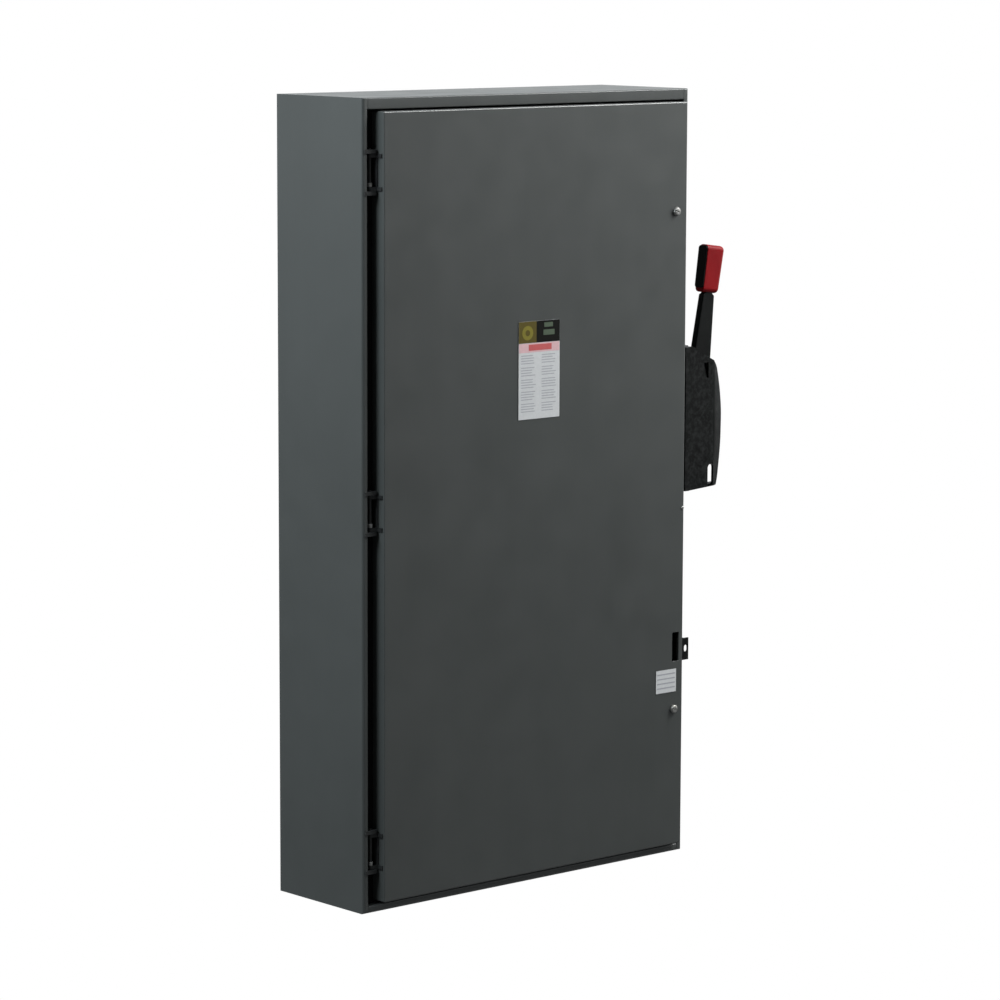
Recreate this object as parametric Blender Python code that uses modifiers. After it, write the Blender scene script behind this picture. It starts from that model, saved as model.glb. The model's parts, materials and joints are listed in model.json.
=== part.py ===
"""Side-operated AC disconnect box: a wall-mounted sheet-steel enclosure with a hinged door.

Frame: origin at the centre of the rear face, +Y into the wall, -Y towards the user, +Z up.
Everything is in metres.
"""

import math

import bmesh
import bpy
from mathutils import Matrix, Vector

# Driving dimensions
WIDTH = 0.692
DEPTH = 0.210
HEIGHT = 1.276
SHEET = 0.0016
GAP = 0.0003

LEFT = -WIDTH / 2
RIGHT = WIDTH / 2
TOP = HEIGHT / 2
BOTTOM = -HEIGHT / 2
FRONT = -DEPTH
FACE = FRONT - 0.014

# FRONT is the plane of the enclosure's front strips, and FACE the door's outer face, which stands proud.
# Front strips of the enclosure, and the recessed flange that the seal sits on (left, right, top, bottom)
STRIPS = (0.011, 0.011, 0.0182, 0.0125)
MOUTH = (0.060, 0.0225, 0.044, 0.040)
POCKET_DEPTH = 0.019
SEAL_THICKNESS = 0.0043

# Door
DOOR_INSETS = (0.0311, 0.0144, 0.0210, 0.0169)
DOOR_DEPTH = 0.028
DOOR_BEND = 0.0024

# Door hinges
HINGE_X = LEFT + 0.0185
HINGE_Y = FRONT + 0.005
HINGE_HEIGHTS = {"top": 0.524, "middle": -0.004, "bottom": -0.540}
HINGE_HALF = 0.035
HINGE_EAR = 0.006
HINGE_EAR_R = 0.004
HINGE_PIN_R = 0.0025

# Quarter-turn latches: head centre (x, z)
LATCHES = {"upper": (RIGHT - 0.0391, 0.4388), "lower": (RIGHT - 0.0351, -0.3903)}
LATCH_HEAD_R = 0.007
LATCH_SHANK_R = 0.004
LATCH_CAM_Y = FRONT + POCKET_DEPTH + SHEET + 0.0019

# Padlock hasp
HASP_Z = (-0.3134, -0.2764)
HASP_POCKET_X = (RIGHT - 0.0387, RIGHT - 0.0237)
HASP_POCKET_Z = (-0.3100, -0.2613)
HASP_REACH = RIGHT + 0.0105
HASP_HOLE = (RIGHT + 0.0044, -0.2940)
HASP_HOLE_R = 0.0040
HASP_HOLE_RISE = 0.0020
HASP_Y = (FRONT - 0.0021, FRONT - 0.0009)

# Operating handle
PIVOT_X = RIGHT + 0.0446
PIVOT_Z = 0.092
LEVER_Y = (FRONT + 0.020, FRONT + 0.032)
LEVER_LEAN = math.radians(7.7)
HUB_R = 0.020
PIVOT_R = 0.006
COVER_Y = (FRONT - 0.006, FRONT + 0.017)
BRACKET_Y = (FRONT + 0.037, FRONT + 0.056)
HOUSING_Z = (-0.028, 0.212)
SPINE_X = (RIGHT + GAP, RIGHT + 0.022)
CASTING = 0.0035
# Right side of the handle housing: (height, reach beyond the side wall), from the bottom to the shoulder
HOUSING_PROFILE = (
    (-0.024, 0.0840),
    (-0.006, 0.0885),
    (0.040, 0.0945),
    (0.075, 0.0960),
    (0.102, 0.0960),
    (0.130, 0.0930),
    (0.150, 0.0895),
    (0.165, 0.0858),
    (0.1735, 0.0830),
    (0.1805, 0.0785),
    (0.186, 0.0715),
)

# Switch interior
POLES = (-0.16, -0.02, 0.12)
PAD_Y = (-0.0605, -0.0525)
BASE_Y = (-0.052, -0.0143)
BLADE_Y = (-0.090, -0.066)
BLADE_HALF = 0.003
BLADE_PIVOT = (-0.078, 0.115)
CRANK_R = 0.035
CRANK_ANGLE = math.radians(29)
FUSE_Y = -0.090
FUSE_R = 0.029
FUSE_Z = (-0.24, -0.03)
PLATE_X = (0.240, 0.243)
PLATE_Z = (-0.004, 0.200)
SLIDE_X = (0.226, 0.231)
HOOK_PIVOT = (-0.120, 0.018)
HOOK_X = (0.2463, 0.2503)
HOOK_TILT = math.radians(18)

PART_NAME = "ac_disconnect_box"


def start_scene():
    for obj in list(bpy.data.objects):
        bpy.data.objects.remove(obj)
    made = []
    for name in (PART_NAME, "cutters"):
        collection = bpy.data.collections.new(name)
        bpy.context.scene.collection.children.link(collection)
        made.append(collection)
    return made


PARTS, CUTTERS = start_scene()


def make_material(name, colour, roughness, metallic=0.0):
    material = bpy.data.materials.new(name)
    material.use_nodes = True
    shader = material.node_tree.nodes["Principled BSDF"]
    shader.inputs["Base Color"].default_value = (*colour, 1.0)
    shader.inputs["Roughness"].default_value = roughness
    shader.inputs["Metallic"].default_value = metallic
    return material


GREY_PAINT = make_material("grey_paint", (0.095, 0.105, 0.102), 0.42)
BLACK_PAINT = make_material("black_paint", (0.012, 0.013, 0.013), 0.38)
BLACK_FOAM = make_material("black_foam", (0.010, 0.010, 0.010), 0.9)
RED_PLASTIC = make_material("red_plastic", (0.30, 0.015, 0.022), 0.40)
BLACK_PLASTIC = make_material("black_plastic", (0.010, 0.008, 0.008), 0.45)
ZINC = make_material("zinc", (0.62, 0.62, 0.60), 0.35, 1.0)
COPPER = make_material("copper", (0.80, 0.44, 0.28), 0.30, 1.0)
ALUMINIUM = make_material("aluminium", (0.80, 0.81, 0.82), 0.35, 1.0)
RED_POLYESTER = make_material("red_polyester", (0.30, 0.040, 0.025), 0.55)
FIBRE = make_material("fibre", (0.32, 0.27, 0.20), 0.65)
FUSE_TUBE = make_material("fuse_tube", (0.55, 0.42, 0.22), 0.45)
CLEAR = make_material("clear", (0.85, 0.88, 0.88), 0.08)
PAPER = make_material("paper", (0.80, 0.80, 0.78), 0.55)


def new_object(name, mesh, material=None):
    """An object in the part's collection, or in the cutters' when it has no material."""
    obj = bpy.data.objects.new(name, mesh)
    if material:
        mesh.materials.append(material)
        PARTS.objects.link(obj)
    else:
        obj.hide_render = True
        obj.display_type = "WIRE"
        CUTTERS.objects.link(obj)
    return obj


def block(name, x, y, z, material=None):
    """A box between the given (low, high) pairs."""
    low, high = (Vector(corner) for corner in zip(x, y, z))
    mesh = bpy.data.meshes.new(name)
    shape = bmesh.new()
    bmesh.ops.create_cube(shape, size=1.0, matrix=Matrix.Diagonal((*(high - low), 1.0)))
    shape.to_mesh(mesh)
    shape.free()
    obj = new_object(name, mesh, material)
    obj.location = (low + high) / 2
    return obj


def rod(name, start, end, radius, material=None, sides=20):
    """A cylinder between two points."""
    start, end = Vector(start), Vector(end)
    along = end - start
    mesh = bpy.data.meshes.new(name)
    shape = bmesh.new()
    bmesh.ops.create_cone(
        shape, cap_ends=True, segments=sides, radius1=radius, radius2=radius, depth=along.length
    )
    bmesh.ops.rotate(shape, verts=shape.verts, matrix=along.to_track_quat("Z", "Y").to_matrix())
    shape.to_mesh(mesh)
    shape.free()
    mesh.shade_smooth()
    mesh.set_sharp_from_angle(angle=math.radians(40))
    obj = new_object(name, mesh, material)
    obj.location = (start + end) / 2
    return obj


# The turn that lays an outline drawn in a curve's own XY plane onto each world plane
TURNS = {
    "Z": Matrix.Identity(4),
    "Y": Matrix.Rotation(math.radians(90), 4, "X"),
    "X": Matrix.Rotation(math.radians(90), 4, "Z") @ Matrix.Rotation(math.radians(90), 4, "X"),
}


def flat(name, outline, axis, span, material=None):
    """An outline extruded along an axis: (x, z) points for Y, (y, z) points for X, (x, y) for Z."""
    curve = bpy.data.curves.new(name, "CURVE")
    curve.dimensions = "2D"
    curve.fill_mode = "BOTH"
    curve.extrude = (span[1] - span[0]) / 2
    spline = curve.splines.new("POLY")
    spline.points.add(len(outline) - 1)
    for point, (across, up) in zip(spline.points, outline):
        point.co = (across, up, 0, 1)
    spline.use_cyclic_u = True
    drawn = bpy.data.objects.new(name + "_outline", curve)
    bpy.context.scene.collection.objects.link(drawn)
    mesh = bpy.data.meshes.new_from_object(drawn.evaluated_get(bpy.context.evaluated_depsgraph_get()))
    bpy.data.objects.remove(drawn)
    bpy.data.curves.remove(curve)
    shape = bmesh.new()
    shape.from_mesh(mesh)
    bmesh.ops.remove_doubles(shape, verts=shape.verts, dist=1e-5)
    bmesh.ops.transform(shape, matrix=TURNS[axis], verts=shape.verts)
    bmesh.ops.recalc_face_normals(shape, faces=shape.faces)
    shape.to_mesh(mesh)
    shape.free()
    obj = new_object(name, mesh, material)
    obj.location["XYZ".index(axis)] = (span[0] + span[1]) / 2
    return obj


def arc(centre, radius, first, last, steps):
    """Points on a circle, from one angle to another in degrees, both ends included."""
    angles = (math.radians(first + (last - first) * i / steps) for i in range(steps + 1))
    return [(centre[0] + radius * math.cos(a), centre[1] + radius * math.sin(a)) for a in angles]


def combine(obj, tool, operation):
    modifier = obj.modifiers.new(operation.lower(), "BOOLEAN")
    modifier.operation = operation
    modifier.object = tool
    return obj


def cut(obj, *tools):
    for tool in tools:
        combine(obj, tool, "DIFFERENCE")
    return obj


def join(obj, *tools):
    for tool in tools:
        combine(obj, tool, "UNION")
    return obj


def bevel(obj, width, segments=2, angle=40):
    modifier = obj.modifiers.new("edges", "BEVEL")
    modifier.width = width
    modifier.segments = segments
    modifier.limit_method = "ANGLE"
    modifier.angle_limit = math.radians(angle)
    return obj


def thicken(obj, thickness):
    """Solidify an open surface on its inner side."""
    modifier = obj.modifiers.new("thickness", "SOLIDIFY")
    modifier.thickness = thickness
    modifier.offset = -1
    modifier.use_even_offset = True
    return obj


def joint_empty(name, location, parent=None):
    empty = bpy.data.objects.new(name, None)
    empty.empty_display_size = 0.02
    PARTS.objects.link(empty)
    attach([empty], parent, location)
    return empty


def world_place(obj):
    place = obj.location.copy()
    while obj.parent:
        obj = obj.parent
        place += obj.location
    return place


def attach(objects, parent, location=None):
    """Parent objects that are placed in world coordinates to a joint's empty."""
    for obj in objects:
        if location is not None:
            obj.location = location
        if parent:
            obj.location = obj.location - world_place(parent)
            obj.parent = parent


def ring_loop(insets, y):
    """The four corners of a rectangle inset from the enclosure's outline, in order."""
    left, right, top, bottom = insets
    x = (LEFT + left, RIGHT - right)
    z = (BOTTOM + bottom, TOP - top)
    return [(x[0], y, z[0]), (x[1], y, z[0]), (x[1], y, z[1]), (x[0], y, z[1])]


def ring_surface(name, loops, material):
    """An open surface that runs through rectangular loops, one after the other."""
    shape = bmesh.new()
    rows = [[shape.verts.new(point) for point in loop] for loop in loops]
    for row, following in zip(rows, rows[1:]):
        for i in range(4):
            shape.faces.new((row[i], row[(i + 1) % 4], following[(i + 1) % 4], following[i]))
    mesh = bpy.data.meshes.new(name)
    shape.to_mesh(mesh)
    shape.free()
    return new_object(name, mesh, material)


def enclosure():
    """Wrapper, front strips and seal flange as one bent sheet, and the welded rear panel."""
    none = (0, 0, 0, 0)
    flange = FRONT + POCKET_DEPTH
    loops = (
        ring_loop(none, 0),
        ring_loop(none, FRONT),
        ring_loop(STRIPS, FRONT),
        ring_loop(STRIPS, flange),
        ring_loop(MOUTH, flange),
    )
    shell = thicken(ring_surface("enclosure_shell", loops, GREY_PAINT), SHEET)
    link_slot = block("link_slot_tool", (RIGHT - 0.006, RIGHT + 0.004), (-0.180, -0.155), (0.045, 0.126))
    cut(shell, link_slot)
    inside = SHEET + GAP
    panel = block(
        "rear_panel",
        (LEFT + inside, RIGHT - inside),
        (-0.002, 0),
        (BOTTOM + inside, TOP - inside),
        GREY_PAINT,
    )
    for x in (-0.25, 0.25):
        for z in (-0.57, 0.57):
            cut(panel, rod("mounting_hole_tool", (x, -0.01, z), (x, 0.01, z), 0.0045))


def frame_rect(insets, grow=0.0):
    left, right, top, bottom = insets
    return (LEFT + left - grow, RIGHT - right + grow), (BOTTOM + bottom - grow, TOP - top + grow)


def seal():
    """Black foam that fills the bottom of the channel round the door."""
    y = (FRONT + POCKET_DEPTH - GAP - SEAL_THICKNESS, FRONT + POCKET_DEPTH - GAP)
    outer_x, outer_z = frame_rect(STRIPS, -0.0008)
    inner_x, inner_z = frame_rect(MOUTH, 0.0008)
    ring = block("door_seal", outer_x, y, outer_z, BLACK_FOAM)
    cut(ring, block("seal_mouth_tool", inner_x, (y[0] - 0.01, y[1] + 0.01), inner_z))


def door(pivot):
    """Flanged pan, open at the rear, with holes for the latches, the hasp's pocket and its tab."""
    x, z = frame_rect(DOOR_INSETS)
    mesh = bpy.data.meshes.new("door_panel")
    shape = bmesh.new()
    size = (x[1] - x[0], DOOR_DEPTH, z[1] - z[0])
    bmesh.ops.create_cube(shape, size=1.0, matrix=Matrix.Diagonal((*size, 1.0)))
    rear = [face for face in shape.faces if face.calc_center_median().y > DOOR_DEPTH * 0.4]
    bmesh.ops.delete(shape, geom=rear, context="FACES_ONLY")
    bends = [edge for edge in shape.edges if not edge.is_boundary]
    bmesh.ops.bevel(shape, geom=bends, offset=DOOR_BEND, segments=2, profile=0.5, affect="EDGES")
    shape.to_mesh(mesh)
    shape.free()
    panel = new_object("door_panel", mesh, GREY_PAINT)
    panel.location = ((x[0] + x[1]) / 2, FACE + DOOR_DEPTH / 2, (z[0] + z[1]) / 2)
    thicken(panel, SHEET)
    through = (FACE - 0.005, FACE + 0.006)
    for name, (hole_x, hole_z) in LATCHES.items():
        ends = ((hole_x, through[0], hole_z), (hole_x, through[1], hole_z))
        cut(panel, rod(f"{name}_latch_hole_tool", *ends, LATCH_SHANK_R + 0.0005))
    pocket = block("hasp_pocket_tool", HASP_POCKET_X, (FACE - 0.01, FACE + 0.003), HASP_POCKET_Z)
    slot_z = (HASP_Z[0] - 0.001, HASP_Z[1] + 0.001)
    slot_y = (HASP_Y[0] - 0.0006, HASP_Y[1] + 0.0006)
    slot = block("hasp_slot_tool", (RIGHT - 0.018, RIGHT - 0.010), slot_y, slot_z)
    cut(panel, pocket, slot)
    attach([panel], pivot)
    return panel


def hinge(name, height, door_pivot):
    """A frame leaf with two ears, a door leaf with two ears between them, and the pin."""
    y = (FRONT + 0.0050, FRONT + 0.0132)
    low, high = height - HINGE_HALF, height + HINGE_HALF
    leaf_x = (LEFT + 0.0113, LEFT + 0.0133)
    frame_leaf = block(f"hinge_frame_leaf_{name}", leaf_x, y, (low, high), BLACK_PAINT)
    hole_ends = (HINGE_X, HINGE_Y, low - 0.01), (HINGE_X, HINGE_Y, high + 0.01)
    pin_hole = rod("pin_hole_tool", *hole_ends, HINGE_PIN_R + GAP)
    outline = [
        (LEFT + 0.0030, FRONT - 0.0023),
        (HINGE_X + 0.0080, FRONT - 0.0023),
        (HINGE_X + 0.0100, FRONT + 0.0010),
        (HINGE_X + 0.0100, FRONT + 0.0070),
        (HINGE_X + 0.0080, FRONT + 0.0090),
        (LEFT + 0.0125, FRONT + 0.0090),
        (LEFT + 0.0125, FRONT - GAP),
        (LEFT + 0.0030, FRONT - GAP),
    ]
    for z in (low, high - HINGE_EAR):
        join(frame_leaf, flat("frame_ear_tool", outline, "Z", (z, z + HINGE_EAR)))
    cut(frame_leaf, pin_hole)
    inner = HINGE_HALF - HINGE_EAR - 0.0005
    flange_x = LEFT + DOOR_INSETS[0]
    door_leaf = block(
        f"hinge_door_leaf_{name}",
        (flange_x - GAP - 0.002, flange_x - GAP),
        (FRONT - 0.001, FRONT + 0.0132),
        (height - inner, height + inner),
        BLACK_PAINT,
    )
    for z in (height - inner, height + inner - HINGE_EAR):
        outline = [(flange_x - 0.0015, FRONT + 0.0090)]
        outline += arc((HINGE_X, HINGE_Y), HINGE_EAR_R, 90, 270, 8)
        outline.append((flange_x - 0.0015, FRONT - 0.001))
        ear_z = (z, z + HINGE_EAR)
        strap_x = (flange_x - GAP - 0.002, flange_x - GAP)
        strap = block("door_strap_tool", strap_x, (FACE + 0.003, FRONT), ear_z)
        join(door_leaf, flat("door_ear_tool", outline, "Z", ear_z), strap)
    cut(door_leaf, pin_hole)
    pin_ends = (HINGE_X, HINGE_Y, low - 0.0015), (HINGE_X, HINGE_Y, high + 0.0015)
    pin = rod(f"hinge_pin_{name}", *pin_ends, HINGE_PIN_R, BLACK_PAINT, 12)
    collar = height - inner + HINGE_EAR + GAP
    join(pin, rod("pin_collar_tool", (HINGE_X, HINGE_Y, collar), (HINGE_X, HINGE_Y, collar + 0.006), 0.0042))
    attach([door_leaf], door_pivot)


def latch(name, place, door_pivot):
    """A slotted round head on a shank, and the cam that swings behind the seal flange."""
    x, z = place
    pivot = joint_empty(f"{name}_latch_axis", (x, FACE, z), door_pivot)
    head = rod(f"latch_head_{name}", (x, FACE - 0.0055, z), (x, FACE - GAP, z), LATCH_HEAD_R, ZINC, 24)
    shank_ends = (x, FACE - 0.002, z), (x, LATCH_CAM_Y - GAP, z)
    join(head, rod("latch_shank_tool", *shank_ends, LATCH_SHANK_R, None, 16))
    cut(head, block("latch_slot_tool", around(x, 0.009), (FACE - 0.008, FACE - 0.0035), around(z, 0.0009)))
    length = RIGHT - STRIPS[1] - 0.004 - x
    outline = [*arc((x, z), 0.007, 180, 360, 10), (x + 0.006, z + length), (x - 0.006, z + length)]
    cam = flat(f"latch_cam_{name}", outline, "Y", (LATCH_CAM_Y, LATCH_CAM_Y + 0.003), ZINC)
    attach([head, cam], pivot)


def hasps(door_pivot):
    """The door's padlock tab, bent from a pocket behind its face, and the tab on the side wall."""
    hole_x, hole_z = HASP_HOLE
    obround = arc((hole_x, hole_z - HASP_HOLE_RISE), HASP_HOLE_R, 180, 360, 10)
    obround += arc((hole_x, hole_z + HASP_HOLE_RISE), HASP_HOLE_R, 0, 180, 10)
    hole = flat("hasp_hole_tool", obround, "Y", (FRONT - 0.01, FRONT + 0.01))
    thick = HASP_Y[1] - HASP_Y[0]
    pocket_z = (HASP_POCKET_Z[0] - 0.003, HASP_POCKET_Z[1] + 0.003)
    left, right, back = HASP_POCKET_X[0] - 0.003, RIGHT - DOOR_INSETS[1] - SHEET - 0.0007, FRONT + 0.007
    behind_face = FACE + SHEET + GAP
    outline = [
        (left - 0.010, behind_face),
        (left + thick, behind_face),
        (left + thick, back - thick),
        (right - thick, back - thick),
        (right - thick, HASP_Y[0]),
        (right, HASP_Y[0]),
        (right, back),
        (left, back),
        (left, behind_face + thick),
        (left - 0.010, behind_face + thick),
    ]
    door_tab = flat("door_hasp", outline, "Z", pocket_z, BLACK_PAINT)
    join(door_tab, block("hasp_tab_tool", (right - 0.001, HASP_REACH), HASP_Y, HASP_Z))
    cut(door_tab, hole)
    wall_y = (HASP_Y[1] + GAP, HASP_Y[1] + GAP + thick)
    wall_tab = block("enclosure_hasp", (RIGHT + GAP, HASP_REACH), wall_y, HASP_Z, BLACK_PAINT)
    foot = block("hasp_foot_tool", (RIGHT + GAP, RIGHT + GAP + thick), (wall_y[0], FRONT + 0.040), HASP_Z)
    cut(join(wall_tab, foot), hole)
    attach([door_tab], door_pivot)


def labels(door_pivot):
    y = (FACE - GAP - 0.0005, FACE - GAP)
    main = block("main_label", (-0.0375, 0.0501), y, (0.1208, 0.2774), PAPER)
    small = block("rating_label", (0.2704, 0.3162), y, (-0.3609, -0.3224), PAPER)
    attach([main, small], door_pivot)


def housing_side(inset):
    """The bulging right side of the handle housing, drawn in by an inset."""
    low, high = HOUSING_PROFILE[0][0], HOUSING_PROFILE[-1][0]
    middle = (low + high) / 2
    shrink = 1 - 2 * inset / (high - low)
    return [(RIGHT + reach - inset, middle + (z - middle) * shrink) for z, reach in HOUSING_PROFILE]


def housing_section(share, inset):
    """A D-shaped section. share runs from 0 at the flat front to 1 at the rim."""
    flat_x = RIGHT + 0.060 - inset
    left = RIGHT + GAP + inset
    right = [(flat_x + (x - flat_x) * share, z) for x, z in housing_side(inset)]
    shoulder = (RIGHT + 0.012, HOUSING_Z[1] - inset)
    return [(left, HOUSING_Z[0] + inset), *right, shoulder, (left, HOUSING_Z[1] - inset)]


def housing_loft(name, layers, inset, material=None):
    """A closed loft through D sections, each layer (y, share)."""
    shape = bmesh.new()
    rows = []
    for y, share in layers:
        rows.append([shape.verts.new((x, y, z)) for x, z in housing_section(share, inset)])
    count = len(rows[0])
    for row, following in zip(rows, rows[1:]):
        for i in range(count):
            j = (i + 1) % count
            shape.faces.new((row[i], row[j], following[j], following[i]))
    shape.faces.new(rows[0])
    shape.faces.new(rows[-1])
    bmesh.ops.recalc_face_normals(shape, faces=shape.faces)
    mesh = bpy.data.meshes.new(name)
    shape.to_mesh(mesh)
    shape.free()
    return new_object(name, mesh, material)


def handle_housing():
    """Front cover and rear bracket, with an open slot between them where the lever swings."""
    front, rim = COVER_Y
    layers = [(front, 0.0), (front + 0.004, 0.34), (front + 0.010, 0.72), (front + 0.015, 0.93), (rim, 1.0)]
    cover = housing_loft("handle_cover", layers, 0.0, BLACK_PAINT)
    hollow = [(y + CASTING, share) for y, share in layers]
    cut(cover, housing_loft("cover_hollow_tool", hollow, CASTING))
    lip = block("cover_lip_tool", (RIGHT - 0.0052, RIGHT + 0.004), (front, FRONT - GAP), HOUSING_Z)
    join(cover, lip)
    window = [(0.036, 0.184), (0.056, 0.184), (0.055, 0.158), (0.046, 0.158)]
    outline = [(RIGHT + x, z) for x, z in window]
    cut(cover, flat("cover_window_tool", outline, "Y", (front - 0.005, front + 0.006)))
    cut(cover, padlock_slot((front - 0.005, front + 0.006), RIGHT + 0.0540))

    bracket = housing_loft("handle_bracket", [(BRACKET_Y[0], 0.86), (BRACKET_Y[1], 0.86)], 0.0, BLACK_PAINT)
    hollow = [(BRACKET_Y[0] + 0.004, 0.86), (BRACKET_Y[1] + 0.01, 0.86)]
    cut(bracket, housing_loft("bracket_hollow_tool", hollow, 0.004))
    spine = block("spine_tool", SPINE_X, (rim + GAP, BRACKET_Y[1]), HOUSING_Z)
    join(bracket, spine)
    link_window = block("link_window_tool", (RIGHT - 0.01, RIGHT + 0.03), (-0.180, -0.155), (0.045, 0.126))
    cut(bracket, link_window)
    cut(bracket, padlock_slot((BRACKET_Y[0] - 0.005, BRACKET_Y[0] + 0.01), RIGHT + 0.080))
    bore_ends = ((PIVOT_X, rim, PIVOT_Z), (PIVOT_X, BRACKET_Y[0] + 0.01, PIVOT_Z))
    cut(bracket, rod("bracket_bore_tool", *bore_ends, PIVOT_R + GAP))


def padlock_slot(y, x):
    """A slot with round ends for padlock shackles, 13 mm wide and 37 mm tall."""
    half_width, half_height = 0.0065, 0.012
    low, high = -0.0055 - half_height, -0.0055 + half_height
    outline = [*arc((x, low), half_width, 180, 360, 6), *arc((x, high), half_width, 0, 180, 6)]
    return flat("padlock_slot_tool", outline, "Y", y)


def lever_outline():
    """The lever upright, pivot at the origin: a round hub that widens, then tapers to the tang."""
    hub = arc((0, 0), HUB_R, 180, 360, 12)
    side = [(0.0195, 0.100), (0.0185, 0.120), (0.0130, 0.203), (0.0085, 0.2055), (0.0085, 0.262)]
    return [*hub, *side, *((-x, z) for x, z in reversed(side))]


def handle(handle_pivot):
    """Lever, its two-tone grip and the fixed pivot pin."""
    lever = flat("handle_lever", lever_outline(), "Y", LEVER_Y, BLACK_PAINT)
    bore = rod("lever_bore_tool", (0, LEVER_Y[0] - 0.01, 0), (0, LEVER_Y[1] + 0.01, 0), PIVOT_R + GAP)
    grip_y = (FRONT + 0.015, FRONT + 0.037)
    split = -0.0185
    cap = block("grip_cap", (split + GAP, 0.0232), grip_y, (0.2075, 0.286), RED_PLASTIC)
    core_y = (grip_y[0] + 0.001, grip_y[1] - 0.001)
    core = block("grip_core", (-0.0205, split), core_y, (0.2135, 0.284), BLACK_PLASTIC)
    tang = block(
        "tang_tool", (-0.0088, 0.0088), (LEVER_Y[0] - GAP, LEVER_Y[1] + GAP), (0.200, 0.2623)
    )
    bevel(cap, 0.0055, 3)
    bevel(core, 0.0009, 1)
    cut(cap, tang)
    turn = Matrix.Rotation(LEVER_LEAN, 4, "Y")
    for obj in (lever, cap, core):
        obj.data.transform(Matrix.Translation((obj.location.x, 0, obj.location.z)))
        obj.data.transform(turn)
        obj.location = (PIVOT_X, obj.location.y, PIVOT_Z)
    for tool, y_place in ((tang, tang.location.y), (bore, bore.location.y)):
        tool.data.transform(Matrix.Translation((tool.location.x, 0, tool.location.z)))
        tool.data.transform(turn)
        tool.location = (PIVOT_X, y_place, PIVOT_Z)
    cut(lever, bore)
    attach([lever, cap, core], handle_pivot)
    pin_ends = (PIVOT_X, COVER_Y[0] + CASTING + 0.0005, PIVOT_Z), (PIVOT_X, BRACKET_Y[0] + 0.009, PIVOT_Z)
    rod("handle_pivot_pin", *pin_ends, PIVOT_R, ZINC, 16)


def mounting_pan():
    """A plate with returns that stand it off the rear panel."""
    shape = bmesh.new()
    half_x, half_z, front, rear = 0.250, 0.40, -0.0140, -0.0023
    spots = ((-half_x, rear), (-half_x, front), (half_x, front), (half_x, rear))
    rows = [[shape.verts.new((x, y, z)) for x, y in spots] for z in (-half_z, half_z)]
    for i in range(3):
        shape.faces.new((rows[0][i], rows[0][i + 1], rows[1][i + 1], rows[1][i]))
    mesh = bpy.data.meshes.new("mounting_pan")
    shape.to_mesh(mesh)
    shape.free()
    thicken(new_object("mounting_pan", mesh, ZINC), SHEET)


def bases():
    """Moulded insulating bases. The line base has barriers between its poles."""
    line = block("line_base", (-0.215, 0.175), BASE_Y, (-0.035, 0.340), RED_POLYESTER)
    for x in (-0.090, 0.050):
        join(line, block("barrier_tool", (x - 0.002, x + 0.002), (-0.120, -0.04), (0.185, 0.335)))
    block("load_base", (-0.215, 0.175), BASE_Y, (-0.360, -0.235), RED_POLYESTER)


def around(x, half):
    return (x - half, x + half)


def clip(x, z):
    """Two upright leaves either side of a blade, open at the front."""
    leaves = block("clip_tool", around(x, 0.0060), (-0.105, PAD_Y[0] + 0.001), z)
    gap_z = (z[0] - 0.01, z[1] + 0.01)
    gap = block("clip_gap_tool", around(x, BLADE_HALF + GAP), (-0.12, PAD_Y[0] - 0.002), gap_z)
    return cut(leaves, gap)


def lug_block(name, x, z, material=None):
    """An aluminium lug with a conductor bore and a set screw head."""
    body = block(name, around(x, 0.018), (-0.0963, PAD_Y[0] - GAP), z, material)
    bore = rod("conductor_bore_tool", (x, -0.0785, z[0] - 0.01), (x, -0.0785, z[1] + 0.01), 0.0095, None, 16)
    middle = (z[0] + z[1]) / 2
    screw = rod("set_screw_tool", (x, -0.1010, middle), (x, -0.0945, middle), 0.0085, None, 6)
    return join(cut(body, bore), screw)


def pole(name, x, crossbar_pivot):
    """Everything that carries current in one pole, from the line lug to the load lug."""
    jaw = block(f"line_jaw_{name}", around(x, 0.014), PAD_Y, (0.190, 0.300), COPPER)
    join(jaw, clip(x, (0.203, 0.236)))
    lug_block(f"line_lug_{name}", x, (0.264, 0.305), ALUMINIUM)
    chute = block(f"arc_chute_{name}", around(x, 0.026), (-0.122, PAD_Y[0] - GAP), (0.204, 0.258), FIBRE)
    cut(chute, block("chute_slot_tool", around(x, 0.010), (-0.13, -0.05), (0.19, 0.248)))
    blade_outline = [
        *arc(BLADE_PIVOT, 0.012, 180, 360, 10),
        (BLADE_Y[1], 0.226),
        (BLADE_Y[1] - 0.006, 0.232),
        (BLADE_Y[0], 0.232),
    ]
    blade = flat(f"blade_{name}", blade_outline, "X", around(x, BLADE_HALF), COPPER)
    attach([blade], crossbar_pivot)
    upper = block(f"hinge_terminal_{name}", around(x, 0.014), PAD_Y, (-0.025, 0.134), COPPER)
    join(upper, clip(x, (0.100, 0.130)), clip(x, (-0.020, 0.012)))
    fuse(name, x)
    load = block(f"load_terminal_{name}", around(x, 0.014), PAD_Y, (-0.350, -0.245), COPPER)
    lug = lug_block("load_lug_tool", x, (-0.345, -0.304))
    lug.location.y += 0.001
    join(load, clip(x, (-0.284, -0.252)), lug)


def fuse(name, x):
    low, high = FUSE_Z
    body = rod(f"fuse_{name}", (x, FUSE_Y, low + 0.010), (x, FUSE_Y, high - 0.010), 0.0265, FUSE_TUBE, 24)
    for start in (low, high - 0.032):
        cap = rod("fuse_cap_tool", (x, FUSE_Y, start), (x, FUSE_Y, start + 0.032), FUSE_R, None, 24)
        join(body, cap)
    for z in ((high - 0.004, high + 0.042), (low - 0.042, low + 0.004)):
        join(body, block("fuse_blade_tool", around(x, BLADE_HALF), (-0.108, -0.072), z))


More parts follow.
